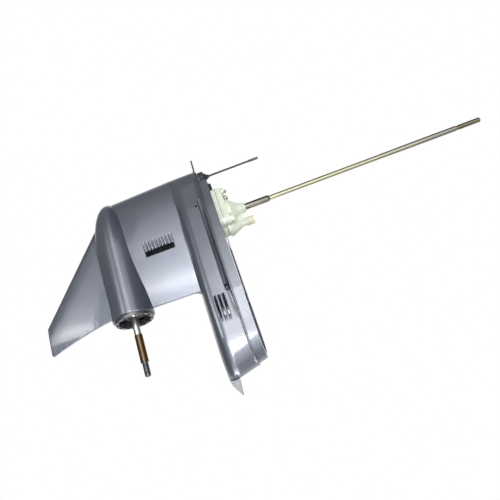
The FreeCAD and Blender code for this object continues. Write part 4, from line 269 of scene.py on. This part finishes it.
def new_material(name):
    """Material with a Principled shader; returns the material, its node tree and the shader."""
    material, tree, output = empty_material(name)
    shader = tree.nodes.new("ShaderNodeBsdfPrincipled")
    link(tree, shader.outputs["BSDF"], output.inputs["Surface"])
    return material, tree, shader


def node(tree, kind, **values):
    """Node of a kind, with its properties or its sockets set by name."""
    made = tree.nodes.new("ShaderNode" + kind)
    for key, value in values.items():
        if hasattr(made, key):
            setattr(made, key, value)
        else:
            made.inputs[key.replace("_", " ")].default_value = value
    return made


def link(tree, source, target):
    """Join an output socket to an input socket."""
    tree.links.new(source, target)


def maths(tree, operation, *values):
    """Result of a Math node fed by sockets or plain numbers."""
    made = node(tree, "Math", operation=operation)
    for socket, value in zip(made.inputs, values):
        if isinstance(value, bpy.types.NodeSocket):
            link(tree, value, socket)
        else:
            socket.default_value = value
    return made.outputs[0]


def axes(tree, source):
    """Sockets of a vector's X, Y and Z."""
    made = node(tree, "SeparateXYZ")
    link(tree, source, made.inputs["Vector"])
    return made.outputs


def place(tree, scale=(1, 1, 1)):
    """Object coordinates stretched by a scale."""
    coords = node(tree, "TexCoord")
    mapping = node(tree, "Mapping")
    mapping.inputs["Scale"].default_value = scale
    link(tree, coords.outputs["Object"], mapping.inputs["Vector"])
    return mapping.outputs["Vector"]


def noise(tree, vector, cells, detail=4.0, roughness=0.55):
    """Noise with a number of cells per metre."""
    made = node(tree, "TexNoise", Scale=cells, Detail=detail, Roughness=roughness)
    link(tree, vector, made.inputs["Vector"])
    return made.outputs["Fac"]


def ramp(tree, source, stops):
    """Colour ramp through (place, colour) stops."""
    made = node(tree, "ValToRGB")
    elements = made.color_ramp.elements
    while len(elements) < len(stops):
        elements.new(0.5)
    for element, (position, colour) in zip(elements, stops):
        element.position = position
        element.color = (*colour, 1)
    link(tree, source, made.inputs["Fac"])
    return made.outputs["Color"]


def remap(tree, source, given, wanted=(0.0, 1.0)):
    """Take a value from the given range to the wanted one, and clamp it there."""
    made = node(tree, "MapRange")
    for name, value in zip(("From Min", "From Max", "To Min", "To Max"), (*given, *wanted)):
        made.inputs[name].default_value = value
    link(tree, source, made.inputs["Value"])
    return made.outputs["Result"]


def graded(tree, source, stops):
    """Colour along a length through (place, colour) stops in the length's own units."""
    start = stops[0][0]
    end = stops[-1][0]
    along = remap(tree, source, (start, end))
    return ramp(tree, along, [((spot - start) / (end - start), colour) for spot, colour in stops])


def mix(tree, factor, first, second):
    """Mix two colours by a factor socket; each colour is a socket or a plain colour."""
    made = node(tree, "Mix", data_type="RGBA")
    link(tree, factor, made.inputs[0])
    for socket, value in ((made.inputs[6], first), (made.inputs[7], second)):
        if isinstance(value, bpy.types.NodeSocket):
            link(tree, value, socket)
        else:
            socket.default_value = (*value, 1)
    return made.outputs[2]


def bump(tree, shader, height, strength, distance):
    """Relief of a surface from a height socket; returns its node."""
    made = node(tree, "Bump", Strength=strength, Distance=distance)
    link(tree, height, made.inputs["Height"])
    link(tree, made.outputs["Normal"], shader.inputs["Normal"])
    return made


def soft_corner_normal(tree):
    """Normal that rounds the casting's corners by shading up to the lip, and leaves them sharp above it."""
    soft = node(tree, "Bevel", samples=8, Radius=CASTING_CORNER)
    plain = node(tree, "NewGeometry")
    above = remap(tree, axes(tree, plain.outputs["Position"])["Z"], (SOFT_CORNER_TOP_Z, SHARP_CORNER_LOW_Z))
    choice = node(tree, "Mix", data_type="VECTOR")
    link(tree, above, choice.inputs[0])
    link(tree, soft.outputs["Normal"], choice.inputs[4])
    link(tree, plain.outputs["Normal"], choice.inputs[5])
    return choice.outputs[1]


def casting_relief(tree, where, spot):
    """Height of the paint's faint waves, the flare under the lip and the roll of the box's lower edge."""
    waves = maths(tree, "MULTIPLY", noise(tree, where, PAINT_WAVE_CELLS, detail=2.0), PAINT_WAVE)
    rise = remap(tree, spot["Z"], (LIP_Z - LIP_FLARE_HEIGHT, LIP_Z))
    ahead = remap(tree, spot["X"], (LIP_FLARE_END_X - LIP_FLARE_FADE, LIP_FLARE_END_X), (1.0, 0.0))
    flare = maths(tree, "MULTIPLY", maths(tree, "POWER", rise, RELIEF_POWER), ahead)
    flared = maths(tree, "MULTIPLY_ADD", flare, LIP_FLARE_OUT, waves)
    fall = remap(tree, spot["Z"], (ROLL_LOW_Z, ROLL_HIGH_Z), (1.0, 0.0))
    return maths(tree, "MULTIPLY_ADD", maths(tree, "POWER", fall, RELIEF_POWER), -ROLL_OUT, flared)


def lightened(colour, factor):
    """A colour made lighter or darker by a factor."""
    return tuple(min(c * factor, 1.0) for c in colour[:3])


def spread(middle, reach):
    """Range that reaches from a middle value to each side."""
    return tuple(middle + side for side in reach)


# Finishes

def paint_finish(colour):
    """Glossy metallic paint with flakes, slow tone changes and a clear coat, round a machined deck face."""
    material, tree, shader = new_material("gearcase_paint")
    where = place(tree)
    spot = axes(tree, node(tree, "TexCoord").outputs["Object"])
    facing = axes(tree, node(tree, "NewGeometry").outputs["Normal"])
    flakes = remap(tree, noise(tree, where, FLAKE_CELLS, detail=2.0, roughness=0.7), FLAKE_EDGE)
    cloud = noise(tree, where, PAINT_CLOUD_CELLS, detail=3.0)
    fleck = mix(tree, flakes, lightened(colour, DARK_FLAKE_SHADE), lightened(colour, LIGHT_FLAKE_SHADE))
    patches = remap(tree, cloud, PAINT_CLOUD_EDGE, PAINT_CLOUD_SHARE)
    body = mix(tree, patches, fleck, lightened(colour, PAINT_CLOUD_SHADE))
    level = remap(tree, facing["Z"], DECK_FACE_LEVEL)
    machined = maths(tree, "MULTIPLY", level, remap(tree, spot["Z"], DECK_FACE_Z))
    marks = noise(tree, place(tree, DECK_MARK_STRETCH), 1.0, detail=3.0)
    face = ramp(tree, marks, [(NOISE_SPAN[0], FACE_DARK), (NOISE_SPAN[1], FACE_LIGHT)])
    link(tree, mix(tree, machined, body, face), shader.inputs["Base Color"])
    shader.inputs["Metallic"].default_value = 0.45
    link(tree, remap(tree, cloud, NOISE_SPAN, PAINT_ROUGHNESS), shader.inputs["Roughness"])
    shader.inputs["Coat Weight"].default_value = 0.9
    shader.inputs["Coat Roughness"].default_value = 0.07
    relief = bump(tree, shader, casting_relief(tree, where, spot), strength=1.0, distance=1.0)
    link(tree, soft_corner_normal(tree), relief.inputs["Normal"])
    link(tree, relief.outputs["Normal"], shader.inputs["Coat Normal"])
    return material


def metal_finish(name, colour, roughness, mark_cells=METAL_MARK_CELLS, metallic=1.0):
    """Bare or plated metal with fine machining marks and slow stains."""
    material, tree, shader = new_material(name)
    where = place(tree)
    marks = noise(tree, where, mark_cells, detail=3.0, roughness=0.6)
    stains = remap(tree, noise(tree, where, METAL_STAIN_CELLS), METAL_STAIN_EDGE, METAL_STAIN_SHARE)
    tone = mix(tree, stains, colour, lightened(colour, METAL_STAIN_SHADE))
    gleams = remap(tree, marks, METAL_MARK_EDGE, METAL_MARK_SHARE)
    link(tree, mix(tree, gleams, tone, lightened(colour, METAL_MARK_SHADE)), shader.inputs["Base Color"])
    shader.inputs["Metallic"].default_value = metallic
    link(tree, remap(tree, marks, NOISE_SPAN, spread(roughness, METAL_SPREAD)), shader.inputs["Roughness"])
    bump(tree, shader, marks, strength=0.15, distance=0.0002)
    return material


def plastic_finish(name, colour, roughness, shade=0.8, subsurface=0.0, specular=0.5):
    """Moulded plastic with slow shade changes, fine grain and a soft glow where it is thin."""
    material, tree, shader = new_material(name)
    where = place(tree)
    cloud = noise(tree, where, PLASTIC_CLOUD_CELLS, detail=3.0)
    patches = remap(tree, cloud, PLASTIC_CLOUD_EDGE, PLASTIC_CLOUD_SHARE)
    link(tree, mix(tree, patches, colour, lightened(colour, shade)), shader.inputs["Base Color"])
    link(tree, remap(tree, cloud, NOISE_SPAN, spread(roughness, PLASTIC_SPREAD)), shader.inputs["Roughness"])
    shader.inputs["Specular IOR Level"].default_value = specular
    if subsurface:
        shader.inputs["Subsurface Weight"].default_value = subsurface
        shader.inputs["Subsurface Radius"].default_value = PLASTIC_GLOW_DEPTHS
    bump(tree, shader, noise(tree, where, PLASTIC_GRAIN_CELLS), strength=0.18, distance=0.0004)
    return material


def rubber_finish(name, colour):
    """Matt rubber with a dusty bloom."""
    material, tree, shader = new_material(name)
    where = place(tree)
    dust = noise(tree, where, RUBBER_DUST_CELLS, detail=5.0)
    patches = remap(tree, dust, RUBBER_DUST_EDGE, RUBBER_DUST_SHARE)
    link(tree, mix(tree, patches, colour, lightened(colour, RUBBER_DUST_SHADE)), shader.inputs["Base Color"])
    link(tree, remap(tree, dust, NOISE_SPAN, RUBBER_ROUGHNESS), shader.inputs["Roughness"])
    bump(tree, shader, noise(tree, where, RUBBER_GRAIN_CELLS, detail=3.0), strength=0.25, distance=0.0003)
    return material


def banded_shaft_finish(name, axis, bands, roughness):
    """Steel shaft whose colour changes along its length through (place, colour) bands."""
    material, tree, shader = new_material(name)
    spot = axes(tree, node(tree, "TexCoord").outputs["Object"])
    colour = graded(tree, spot[axis], bands)
    streaks = noise(tree, place(tree, STREAK_STRETCH[axis]), 1.0, detail=3.0)
    stained = remap(tree, streaks, STREAK_EDGE, STREAK_SHARE)
    link(tree, mix(tree, stained, colour, STREAK_BROWN), shader.inputs["Base Color"])
    shader.inputs["Metallic"].default_value = 0.9
    link(tree, remap(tree, streaks, NOISE_SPAN, spread(roughness, SHAFT_SPREAD)), shader.inputs["Roughness"])
    return material


# Small tools for meshes

def mesh_object(name, vertices, faces, material, smooth=True):
    """Mesh object from plain lists."""
    mesh = bpy.data.meshes.new(name)
    mesh.from_pydata(vertices, [], faces)
    mesh.validate()
    mesh.update()
    for polygon in mesh.polygons:
        polygon.use_smooth = smooth
    mesh.materials.append(material)
    made = bpy.data.objects.new(name, mesh)
    bpy.context.scene.collection.objects.link(made)
    return made


def helix_thread(name, material, start, end, root, crest, pitch, sides=48):
    """Screw thread along X on the propeller shaft axis, as one closed winding."""
    turns = (end - start) / pitch - 1
    steps = int(turns * sides)
    section = [(-0.5, root), (-THREAD_CREST_HALF, crest), (THREAD_CREST_HALF, crest), (0.5, root)]
    vertices = []
    for i in range(steps + 1):
        angle = 2 * math.pi * i / sides
        fade = min(i, steps - i, sides) / sides
        for along, radius in section:
            r = root + (radius - root) * fade
            x = start + pitch * (0.5 + i / sides + along)
            vertices.append((x, r * math.cos(angle), PROP_Z + r * math.sin(angle)))
    faces = []
    count = len(section)
    for i in range(steps):
        for k in range(count):
            a = i * count + k
            b = i * count + (k + 1) % count
            faces.append((a, b, b + count, a + count))
    faces.append(tuple(range(count))[::-1])
    faces.append(tuple(range(steps * count, steps * count + count)))
    return mesh_object(name, vertices, faces, material)


def tube_along(name, points, radius, material, sides=20):
    """Round bar along a smooth curve through points, as a mesh."""
    curve = bpy.data.curves.new(name, "CURVE")
    curve.dimensions = "3D"
    curve.bevel_depth = radius
    curve.bevel_resolution = sides // 4
    curve.use_fill_caps = True
    spline = curve.splines.new("BEZIER")
    spline.bezier_points.add(len(points) - 1)
    for point, spot in zip(spline.bezier_points, points):
        point.co = spot
        point.handle_left_type = "AUTO"
        point.handle_right_type = "AUTO"
    made = bpy.data.objects.new(name, curve)
    bpy.context.scene.collection.objects.link(made)
    mesh = bpy.data.meshes.new_from_object(made.evaluated_get(bpy.context.evaluated_depsgraph_get()))
    bpy.data.objects.remove(made)
    for polygon in mesh.polygons:
        polygon.use_smooth = True
    mesh.materials.clear()
    mesh.materials.append(material)
    solid = bpy.data.objects.new(name, mesh)
    bpy.context.scene.collection.objects.link(solid)
    return solid


def dress(names, material):
    """Give solid parts a material."""
    for name in names:
        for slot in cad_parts[name].material_slots:
            slot.material = material


# What a user may change

class LowerUnitColours(bpy.types.PropertyGroup):
    """Colours of the finishes, as linear values."""

    paint: bpy.props.FloatVectorProperty(
        name="Paint", description="Dark bluish grey of the casting", subtype="COLOR", size=3,
        min=0, max=1, default=(0.105, 0.118, 0.150))
    moulding: bpy.props.FloatVectorProperty(
        name="Pump moulding", description="Ivory green plastic of the water pump", subtype="COLOR", size=3,
        min=0, max=1, default=(0.80, 0.86, 0.70))
    grommet: bpy.props.FloatVectorProperty(
        name="Grommet", description="Yellowish rubber round the water outlet", subtype="COLOR", size=3,
        min=0, max=1, default=(0.78, 0.78, 0.55))
    shaft: bpy.props.FloatVectorProperty(
        name="Driveshaft", description="Oiled steel of the driveshaft", subtype="COLOR", size=3,
        min=0, max=1, default=(0.35, 0.345, 0.235))
    spline: bpy.props.FloatVectorProperty(
        name="Spline", description="Brown spline of the propeller shaft", subtype="COLOR", size=3,
        min=0, max=1, default=(0.13, 0.075, 0.038))
    rubber: bpy.props.FloatVectorProperty(
        name="Rubber", description="Black rubber of the boot, seals and gaskets", subtype="COLOR", size=3,
        min=0, max=1, default=(0.012, 0.012, 0.014))


class LowerUnitSizes(bpy.types.PropertyGroup):
    """Sizes of the small details."""

    thread_pitch: bpy.props.FloatProperty(
        name="Thread pitch", description="Pitch of the propeller nut's thread", unit="LENGTH",
        min=0.001, max=0.004, default=0.0018)
    thread_depth: bpy.props.FloatProperty(
        name="Thread depth", description="Height of the thread's crests", unit="LENGTH",
        min=0.0002, max=0.0015, default=0.0006)
    web_radius: bpy.props.FloatProperty(
        name="Web radius", description="Radius of the corner between the strut's tail and the plate",
        unit="LENGTH", min=0.005, max=0.04, default=0.024)
    pin_radius: bpy.props.FloatProperty(
        name="Bent pin", description="Radius of the bent pin at the front of the pump", unit="LENGTH",
        min=0.0005, max=0.004, default=0.0013)


# One operator for each piece or group of like pieces

class LOWERUNIT_OT_casting(bpy.types.Operator):
    """Paint the gearcase casting"""

    bl_idname = "lowerunit.casting"
    bl_label = "Casting"

    def execute(self, context):
        dress(["gearcase_housing"], paint_finish(context.scene.lower_unit_colours.paint))
        return {"FINISHED"}


class LOWERUNIT_OT_strut_web(bpy.types.Operator):
    """Round the corner between the strut's trailing edge and the plate with a thin web"""

    bl_idname = "lowerunit.strut_web"
    bl_label = "Strut Web"

    def execute(self, context):
        radius = context.scene.lower_unit_sizes.web_radius
        outline = [(STRUT_TAIL_X - WEB_SEAT, PLATE_Z + WEB_SEAT), (STRUT_TAIL_X - WEB_SEAT, PLATE_Z - radius)]
        for i in range(WEB_STEPS + 1):
            turn = math.pi / 2 * i / WEB_STEPS
            x = STRUT_TAIL_X + radius * (1 - math.cos(turn))
            z = PLATE_Z - radius * (1 - math.sin(turn))
            outline.append((x, z))
        outline.append((STRUT_TAIL_X + radius, PLATE_Z + WEB_SEAT))
        count = len(outline)
        vertices = [(x, side * WEB_HALF_WIDTH, z) for side in (-1, 1) for x, z in outline]
        faces = [tuple(range(count)), tuple(range(count, 2 * count))[::-1]]
        for i in range(count):
            k = (i + 1) % count
            faces.append((k, i, i + count, k + count))
        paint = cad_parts["gearcase_housing"].active_material
        web = mesh_object("strut_tail_web", vertices, faces, paint)
        rounding = web.modifiers.new("rounding", "BEVEL")
        rounding.width = WEB_HALF_WIDTH * WEB_ROUNDING
        rounding.segments = 3
        rounding.limit_method = "ANGLE"
        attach(web, "gearcase")
        return {"FINISHED"}


class LOWERUNIT_OT_hull_fittings(bpy.types.Operator):
    """Finish the tab, the plugs with their gaskets, the screens and the dark fasteners"""

    bl_idname = "lowerunit.hull_fittings"
    bl_label = "Hull Fittings"

    def execute(self, context):
        rubber = context.scene.lower_unit_colours.rubber
        dress(["anode_tab"],
              metal_finish("tab_metal", TAB_GREY, roughness=0.55, mark_cells=TAB_MARK_CELLS, metallic=0.2))
        dress(["tab_bolt", "drain_plug", "level_plug", "boot_retainer", "pinion_nut"],
              metal_finish("dark_steel", FASTENER_GREY, roughness=0.40))
        # The screens get a near-black colour and little specular: black plastic plus painted shade of the
        # inlet's depth
        dress(["inlet_screen_port", "inlet_screen_starboard"],
              plastic_finish("screen_plastic_and_painted_shade", SCREEN_BLACK_AND_SHADE, roughness=0.7, specular=0.08))
        dress(["drain_plug_gasket", "level_plug_gasket"], rubber_finish("gasket_rubber", rubber))
        return {"FINISHED"}


class LOWERUNIT_OT_carrier(bpy.types.Operator):
    """Finish the bearing carrier, its ring nut, its washer and the seals"""

    bl_idname = "lowerunit.carrier"
    bl_label = "Bearing Carrier"

    def execute(self, context):
        rubber = context.scene.lower_unit_colours.rubber
        dress(["bearing_carrier"],
              metal_finish("carrier_metal", CARRIER_GREY, roughness=0.42, metallic=0.7))
        dress(["carrier_ring_nut"],
              metal_finish("ring_nut_metal", RING_NUT_GREY, roughness=0.38, metallic=0.8))
        dress(["tab_washer"], metal_finish("washer_steel", WASHER_GREY, roughness=0.35))
        dress(["propshaft_seals", "driveshaft_seals", "carrier_ring_seal", "pump_shaft_seal"],
              rubber_finish("seal_rubber", rubber))
        return {"FINISHED"}


class LOWERUNIT_OT_bearings(bpy.types.Operator):
    """Finish the bearings, gears, clutch and shift pieces inside the case, and the pump's bright steel"""

    bl_idname = "lowerunit.bearings"
    bl_label = "Gears And Bearings"

    def execute(self, context):
        dress(["propshaft_needle_bearing", "reverse_bearing_outer", "reverse_bearing_inner",
               "forward_bearing_cup", "forward_bearing_cone", "driveshaft_needle_bearing",
               "upper_bearing_cup", "upper_bearing_cone",
               "cross_pin", "pin_spring", "pump_cup", "wear_plate", "impeller_key"],
              metal_finish("bearing_steel", BEARING_SILVER, roughness=0.22))
        dress(["pinion_gear", "forward_gear", "reverse_gear", "clutch_dog", "shift_plunger",
               "shift_slider", "shift_crank"],
              metal_finish("gear_steel", GEAR_GREY, roughness=0.34))
        dress(["seal_housing"],
              metal_finish("housing_metal", SEAL_HOUSING_GREY, roughness=0.40, metallic=0.8))
        dress(["shift_rod_bush"], metal_finish("bush_bronze", BUSH_BRONZE, roughness=0.36))
        return {"FINISHED"}


class LOWERUNIT_OT_propshaft(bpy.types.Operator):
    """Finish the propeller shaft and cut its thread"""

    bl_idname = "lowerunit.propshaft"
    bl_label = "Propeller Shaft"

    def execute(self, context):
        spline = context.scene.lower_unit_colours.spline
        sizes = context.scene.lower_unit_sizes
        end = PROP_HIGH.x
        bands = [(PROP_LOW.x, PROPSHAFT_SILVER), (end - LAND_END, PROPSHAFT_SILVER),
                 (end - SPLINE_START, spline), (end - SPLINE_END, spline),
                 (end - THREAD_START, PROPSHAFT_THREAD_GREY), (end, PROPSHAFT_TIP_GREY)]
        dress(["propshaft"], banded_shaft_finish("propshaft_steel", "X", bands, roughness=0.28))
        root = THREAD_SEAT - sizes.thread_depth * THREAD_SUNK
        crest = THREAD_SEAT + sizes.thread_depth * THREAD_PROUD
        steel = metal_finish("thread_steel", THREAD_GREY, roughness=0.38)
        winding = helix_thread("propshaft_thread", steel, end - THREAD_START, end - THREAD_END, root, crest,
                               sizes.thread_pitch)
        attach(winding, "propshaft_assembly")
        return {"FINISHED"}


class LOWERUNIT_OT_driveshaft(bpy.types.Operator):
    """Finish the driveshaft"""

    bl_idname = "lowerunit.driveshaft"
    bl_label = "Driveshaft"

    def execute(self, context):
        oiled = context.scene.lower_unit_colours.shaft
        bands = [(DECK_Z, JOURNAL_BROWN), (JOURNAL_TOP_Z, JOURNAL_BROWN),
                 (OILED_LOW_Z, oiled), (OILED_HIGH_Z, lightened(oiled, OIL_SHADE)),
                 (GREY_LOW_Z, DRIVESHAFT_GREY), (GREY_HIGH_Z, DRIVESHAFT_GREY),
                 (TIP_LOW_Z, DRIVESHAFT_BROWN), (SHAFT_TOP_Z, DRIVESHAFT_TIP)]
        dress(["driveshaft"], banded_shaft_finish("driveshaft_steel", "Z", bands, roughness=0.16))
        return {"FINISHED"}


class LOWERUNIT_OT_shift_rod(bpy.types.Operator):
    """Finish the shift rod, its boot and the pad on the deck"""

    bl_idname = "lowerunit.shift_rod"
    bl_label = "Shift Rod"

    def execute(self, context):
        rubber = context.scene.lower_unit_colours.rubber
        bands = [(DECK_Z, ROD_FOOT), (ROD_MIDDLE_Z, ROD_MIDDLE), (ROD_TOP_Z, ROD_TOP)]
        dress(["shift_rod"], banded_shaft_finish("shift_rod_steel", "Z", bands, roughness=0.45))
        dress(["shift_boot", "deck_pad"], rubber_finish("boot_rubber", rubber))
        return {"FINISHED"}


class LOWERUNIT_OT_pump(bpy.types.Operator):
    """Finish the water pump with its bolts, gaskets and grommet, and put up its bent pin"""

    bl_idname = "lowerunit.pump"
    bl_label = "Water Pump"

    def execute(self, context):
        colours = context.scene.lower_unit_colours
        dress(["pump_housing", "pump_base"],
              plastic_finish("pump_moulding", colours.moulding, roughness=0.42, shade=0.82, subsurface=0.15))
        dress(["water_tube_grommet"],
              plastic_finish("grommet_rubber", colours.grommet, roughness=0.5, subsurface=0.1))
        dress(["pump_bolts"], metal_finish("bolt_steel", BOLT_GREY, roughness=0.3))
        dress(["impeller"], rubber_finish("pump_rubber", colours.rubber))
        dress(["pump_base_gasket", "wear_plate_lower_gasket", "wear_plate_upper_gasket"],
              plastic_finish("gasket_paper", lightened(colours.moulding, PAPER_SHADE), roughness=0.6))
        foot = Vector((PUMP_LOW.x + PIN_INSET, PIN_Y, PUMP_LOW.z + PIN_LIFT))
        points = [foot + Vector(step) for step in PIN_COURSE]
        radius = context.scene.lower_unit_sizes.pin_radius
        pin = tube_along("bent_pin", points, radius, metal_finish("pin_steel", PIN_GREY, roughness=0.35))
        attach(pin, "gearcase")
        return {"FINISHED"}


class LOWERUNIT_OT_stage(bpy.types.Operator):
    """Put up the floor, the backdrop, the reflecting cards, the lamps and the camera"""

    bl_idname = "lowerunit.stage"
    bl_label = "Stage"

    def execute(self, context):
        scene = context.scene
        scene.view_settings.view_transform = "Standard"
        make_floor()
        make_world(scene)
        make_cards()
        for values in LAMPS:
            make_lamp(*values)
        make_camera(scene)
        return {"FINISHED"}


# The stage

def make_camera(scene):
    """Camera at the photo's place, turned on its side as the photo is."""
    data = bpy.data.cameras.new("photo_camera")
    data.sensor_width = SENSOR_WIDTH
    data.lens = SENSOR_WIDTH * CAMERA_FOCUS_PIXELS / FRAME_PIXELS
    camera = bpy.data.objects.new("photo_camera", data)
    scene.collection.objects.link(camera)
    right = CAMERA_RIGHT.normalized()
    up = -CAMERA_DOWN.normalized()
    back = right.cross(up)
    turn = Matrix((right, up, back)).transposed()
    camera.matrix_world = Matrix.Translation(CAMERA_PLACE) @ turn.to_4x4()
    scene.camera = camera


def background_mix(tree, surface, kind):
    """Show plain white to camera, mirror and glass rays, and the surface to the rest."""
    path = node(tree, "LightPath")
    through = maths(tree, "MAXIMUM", path.outputs["Is Transmission Ray"], path.outputs["Is Glossy Ray"])
    seen = maths(tree, "MAXIMUM", path.outputs["Is Camera Ray"], through)
    plain = node(tree, kind, Strength=1.0)
    plain.inputs["Color"].default_value = BACKDROP_WHITE
    choice = node(tree, "MixShader")
    link(tree, seen, choice.inputs[0])
    link(tree, surface, choice.inputs[1])
    link(tree, plain.outputs[0], choice.inputs[2])
    return choice.outputs[0]


def make_floor():
    """Wide pale floor well below the skeg, which looks plain white."""
    material, tree, output = empty_material("floor_white")
    diffuse = node(tree, "BsdfDiffuse")
    diffuse.inputs["Color"].default_value = FLOOR_WHITE
    link(tree, background_mix(tree, diffuse.outputs[0], "Emission"), output.inputs["Surface"])
    corners = flat((-FLOOR_HALF, FLOOR_HALF), (-FLOOR_HALF, FLOOR_HALF), CASE_LOW_Z - FLOOR_DROP)
    floor = mesh_object("floor", corners, [(0, 1, 2, 3)], material, smooth=False)


def make_world(scene):
    """White background, with soft grey light from all round."""
    world = bpy.data.worlds.new("studio")
    scene.world = world
    world.use_nodes = True
    tree = world.node_tree
    tree.nodes.clear()
    output = tree.nodes.new("ShaderNodeOutputWorld")
    soft = node(tree, "Background", Strength=WORLD_STRENGTH)
    soft.inputs["Color"].default_value = WORLD_TINT
    link(tree, background_mix(tree, soft.outputs[0], "Background"), output.inputs["Surface"])


def make_lamp(name, towards, distance, width, height, power):
    """Soft box seen from the middle of the part in a direction; reflections see the cards instead."""
    data = bpy.data.lights.new(name, "AREA")
    data.shape = "RECTANGLE"
    data.size = width
    data.size_y = height
    data.energy = power
    made = bpy.data.objects.new(name, data)
    bpy.context.scene.collection.objects.link(made)
    direction = Vector(towards).normalized()
    made.location = STUDIO_MIDDLE + direction * distance
    made.rotation_mode = "QUATERNION"
    made.rotation_quaternion = direction.to_track_quat("Z", "Y")
    made.visible_glossy = False


def upright(first, last, low, high):
    """Corners of an upright card from one (x, y) place to another, between two heights."""
    return [(*first, low), (*last, low), (*last, high), (*first, high)]


def flat(reach_x, reach_y, level):
    """Corners of a level card between two places each way."""
    (low_x, high_x), (low_y, high_y) = reach_x, reach_y
    return [(low_x, low_y, level), (high_x, low_y, level), (high_x, high_y, level), (low_x, high_y, level)]


def card(name, corners, axis, shades, fade_axis, fade, strength):
    """Graded card that only reflections see, as a studio puts up beside a glossy part.

    The shades are (place, shade) along an axis, and the fade is the two places between which it goes dark.
    """
    material, tree, output = empty_material(name)
    spot = axes(tree, node(tree, "NewGeometry").outputs["Position"])
    glow = node(tree, "Emission")
    greys = [(position, (shade, shade, shade)) for position, shade in shades]
    link(tree, graded(tree, spot[axis], greys), glow.inputs["Color"])
    link(tree, remap(tree, spot[fade_axis], fade, (strength, strength * CARD_DARK)), glow.inputs["Strength"])
    link(tree, glow.outputs[0], output.inputs["Surface"])
    made = mesh_object(name, corners, [(0, 1, 2, 3)], material, smooth=False)
    made.visible_camera = False
    made.visible_diffuse = False
    made.visible_transmission = False
    made.visible_volume_scatter = False
    made.visible_shadow = False


def make_cards():
    """Cards to port, above, below, ahead and astern; the starboard side sees the white backdrop past them."""
    reach, low, high = CARD_REACH, CARD_LOW_Z, CARD_HIGH_Z
    across = (-reach, reach)
    beside = (-reach, CARD_BACK_Y)
    port_bow, port_stern = (-reach, -reach), (reach, -reach)
    pane_end, near_stern = (PANE_X, CARD_NEAR_Y), (reach, CARD_NEAR_Y)
    side_end = (CARD_SIDE_X, -reach)
    tail_y = CARD_NEAR_Y + CARD_LIFT
    card("card_front", upright(port_bow, port_stern, low, high),
         "X", FRONT_SHADES, "Z", CARD_FADE, CARD_STRENGTH)
    card("card_pane", upright(pane_end, near_stern, PANE_LOW_Z, PANE_HIGH_Z),
         "X", PANE_SHADES, "Z", CARD_FADE, CARD_STRENGTH)
    card("card_bow_pane", upright((BOW_PANE_X, CARD_NEAR_Y), pane_end, BOW_PANE_LOW_Z, PANE_HIGH_Z),
         "X", BOW_PANE_SHADES, "Z", CARD_FADE, CARD_STRENGTH)
    card("card_low", flat(across, beside, low),
         "X", LOW_SHADES, "Z", CARD_FADE, CARD_STRENGTH)
    card("card_low_pane", flat(LOW_PANE_X, LOW_PANE_Y, low + CARD_LIFT),
         "X", LOW_PANE_SHADES, "Y", LOW_PANE_FADE, CARD_STRENGTH)
    card("card_top", flat(across, beside, high),
         "Y", TOP_SHADES, "Z", CARD_FADE, CARD_STRENGTH)
    card("card_bow", upright(port_bow, (-reach, CARD_BACK_Y), low, high),
         "Y", BOW_SHADES, "Z", CARD_FADE, CARD_STRENGTH)
    card("card_shaft", upright((SHAFT_CARD_X, CARD_NEAR_Y), near_stern, SHAFT_CARD_LOW_Z, high),
         "X", SHAFT_SHADES, "Z", SHAFT_FADE, CARD_SHAFT_STRENGTH)
    card("card_shaft_side", upright(side_end, (CARD_SIDE_X, SHAFT_CARD_BACK_Y), SHAFT_CARD_LOW_Z, high),
         "Y", SHAFT_SIDE_SHADES, "Z", SHAFT_FADE, CARD_SHAFT_STRENGTH)
    card("card_tail", upright((TAIL_CARD_X, tail_y), (reach, tail_y), TAIL_CARD_LOW_Z, TAIL_CARD_HIGH_Z),
         "X", TAIL_SHADES, "Z", TAIL_FADE, CARD_TAIL_STRENGTH)
    card("card_tail_side", upright(side_end, (CARD_SIDE_X, CARD_STERN_Y), TAIL_CARD_LOW_Z, TAIL_CARD_HIGH_Z),
         "Y", TAIL_SIDE_SHADES, "Z", TAIL_FADE, CARD_TAIL_STRENGTH)
    card("card_stern", upright(port_stern, (reach, CARD_STERN_Y), low, high),
         "Y", STERN_SHADES, "Z", STERN_FADE, CARD_STRENGTH)


class LOWERUNIT_PT_panel(bpy.types.Panel):
    """Panel with the settings and one button for each group of pieces"""

    bl_idname = "LOWERUNIT_PT_panel"
    bl_label = "Lower Unit"
    bl_space_type = "VIEW_3D"
    bl_region_type = "UI"
    bl_category = "Lower Unit"

    def draw(self, context):
        column = self.layout.column()
        for group in (context.scene.lower_unit_colours, context.scene.lower_unit_sizes):
            for name in group.bl_rna.properties.keys():
                if name not in {"rna_type", "name"}:
                    column.prop(group, name)
        for operator in OPERATORS:
            column.operator(operator.bl_idname)


OPERATORS = (
    LOWERUNIT_OT_casting, LOWERUNIT_OT_strut_web, LOWERUNIT_OT_hull_fittings, LOWERUNIT_OT_carrier,
    LOWERUNIT_OT_bearings, LOWERUNIT_OT_propshaft, LOWERUNIT_OT_driveshaft, LOWERUNIT_OT_shift_rod,
    LOWERUNIT_OT_pump, LOWERUNIT_OT_stage,
)
CLASSES = (LowerUnitColours, LowerUnitSizes) + OPERATORS + (LOWERUNIT_PT_panel,)


def register():
    """Register the classes and put the settings on the scene."""
    for item in CLASSES:
        bpy.utils.register_class(item)
    bpy.types.Scene.lower_unit_colours = bpy.props.PointerProperty(type=LowerUnitColours)
    bpy.types.Scene.lower_unit_sizes = bpy.props.PointerProperty(type=LowerUnitSizes)


def unregister():
    """Take the settings off the scene and unregister the classes."""
    del bpy.types.Scene.lower_unit_sizes
    del bpy.types.Scene.lower_unit_colours
    for item in reversed(CLASSES):
        bpy.utils.unregister_class(item)


def main():
    """Register the classes and make every piece in order."""
    register()
    for operator in OPERATORS:
        group, action = operator.bl_idname.split(".")
        getattr(getattr(bpy.ops, group), action)()


if __name__ == "__main__":
    main()
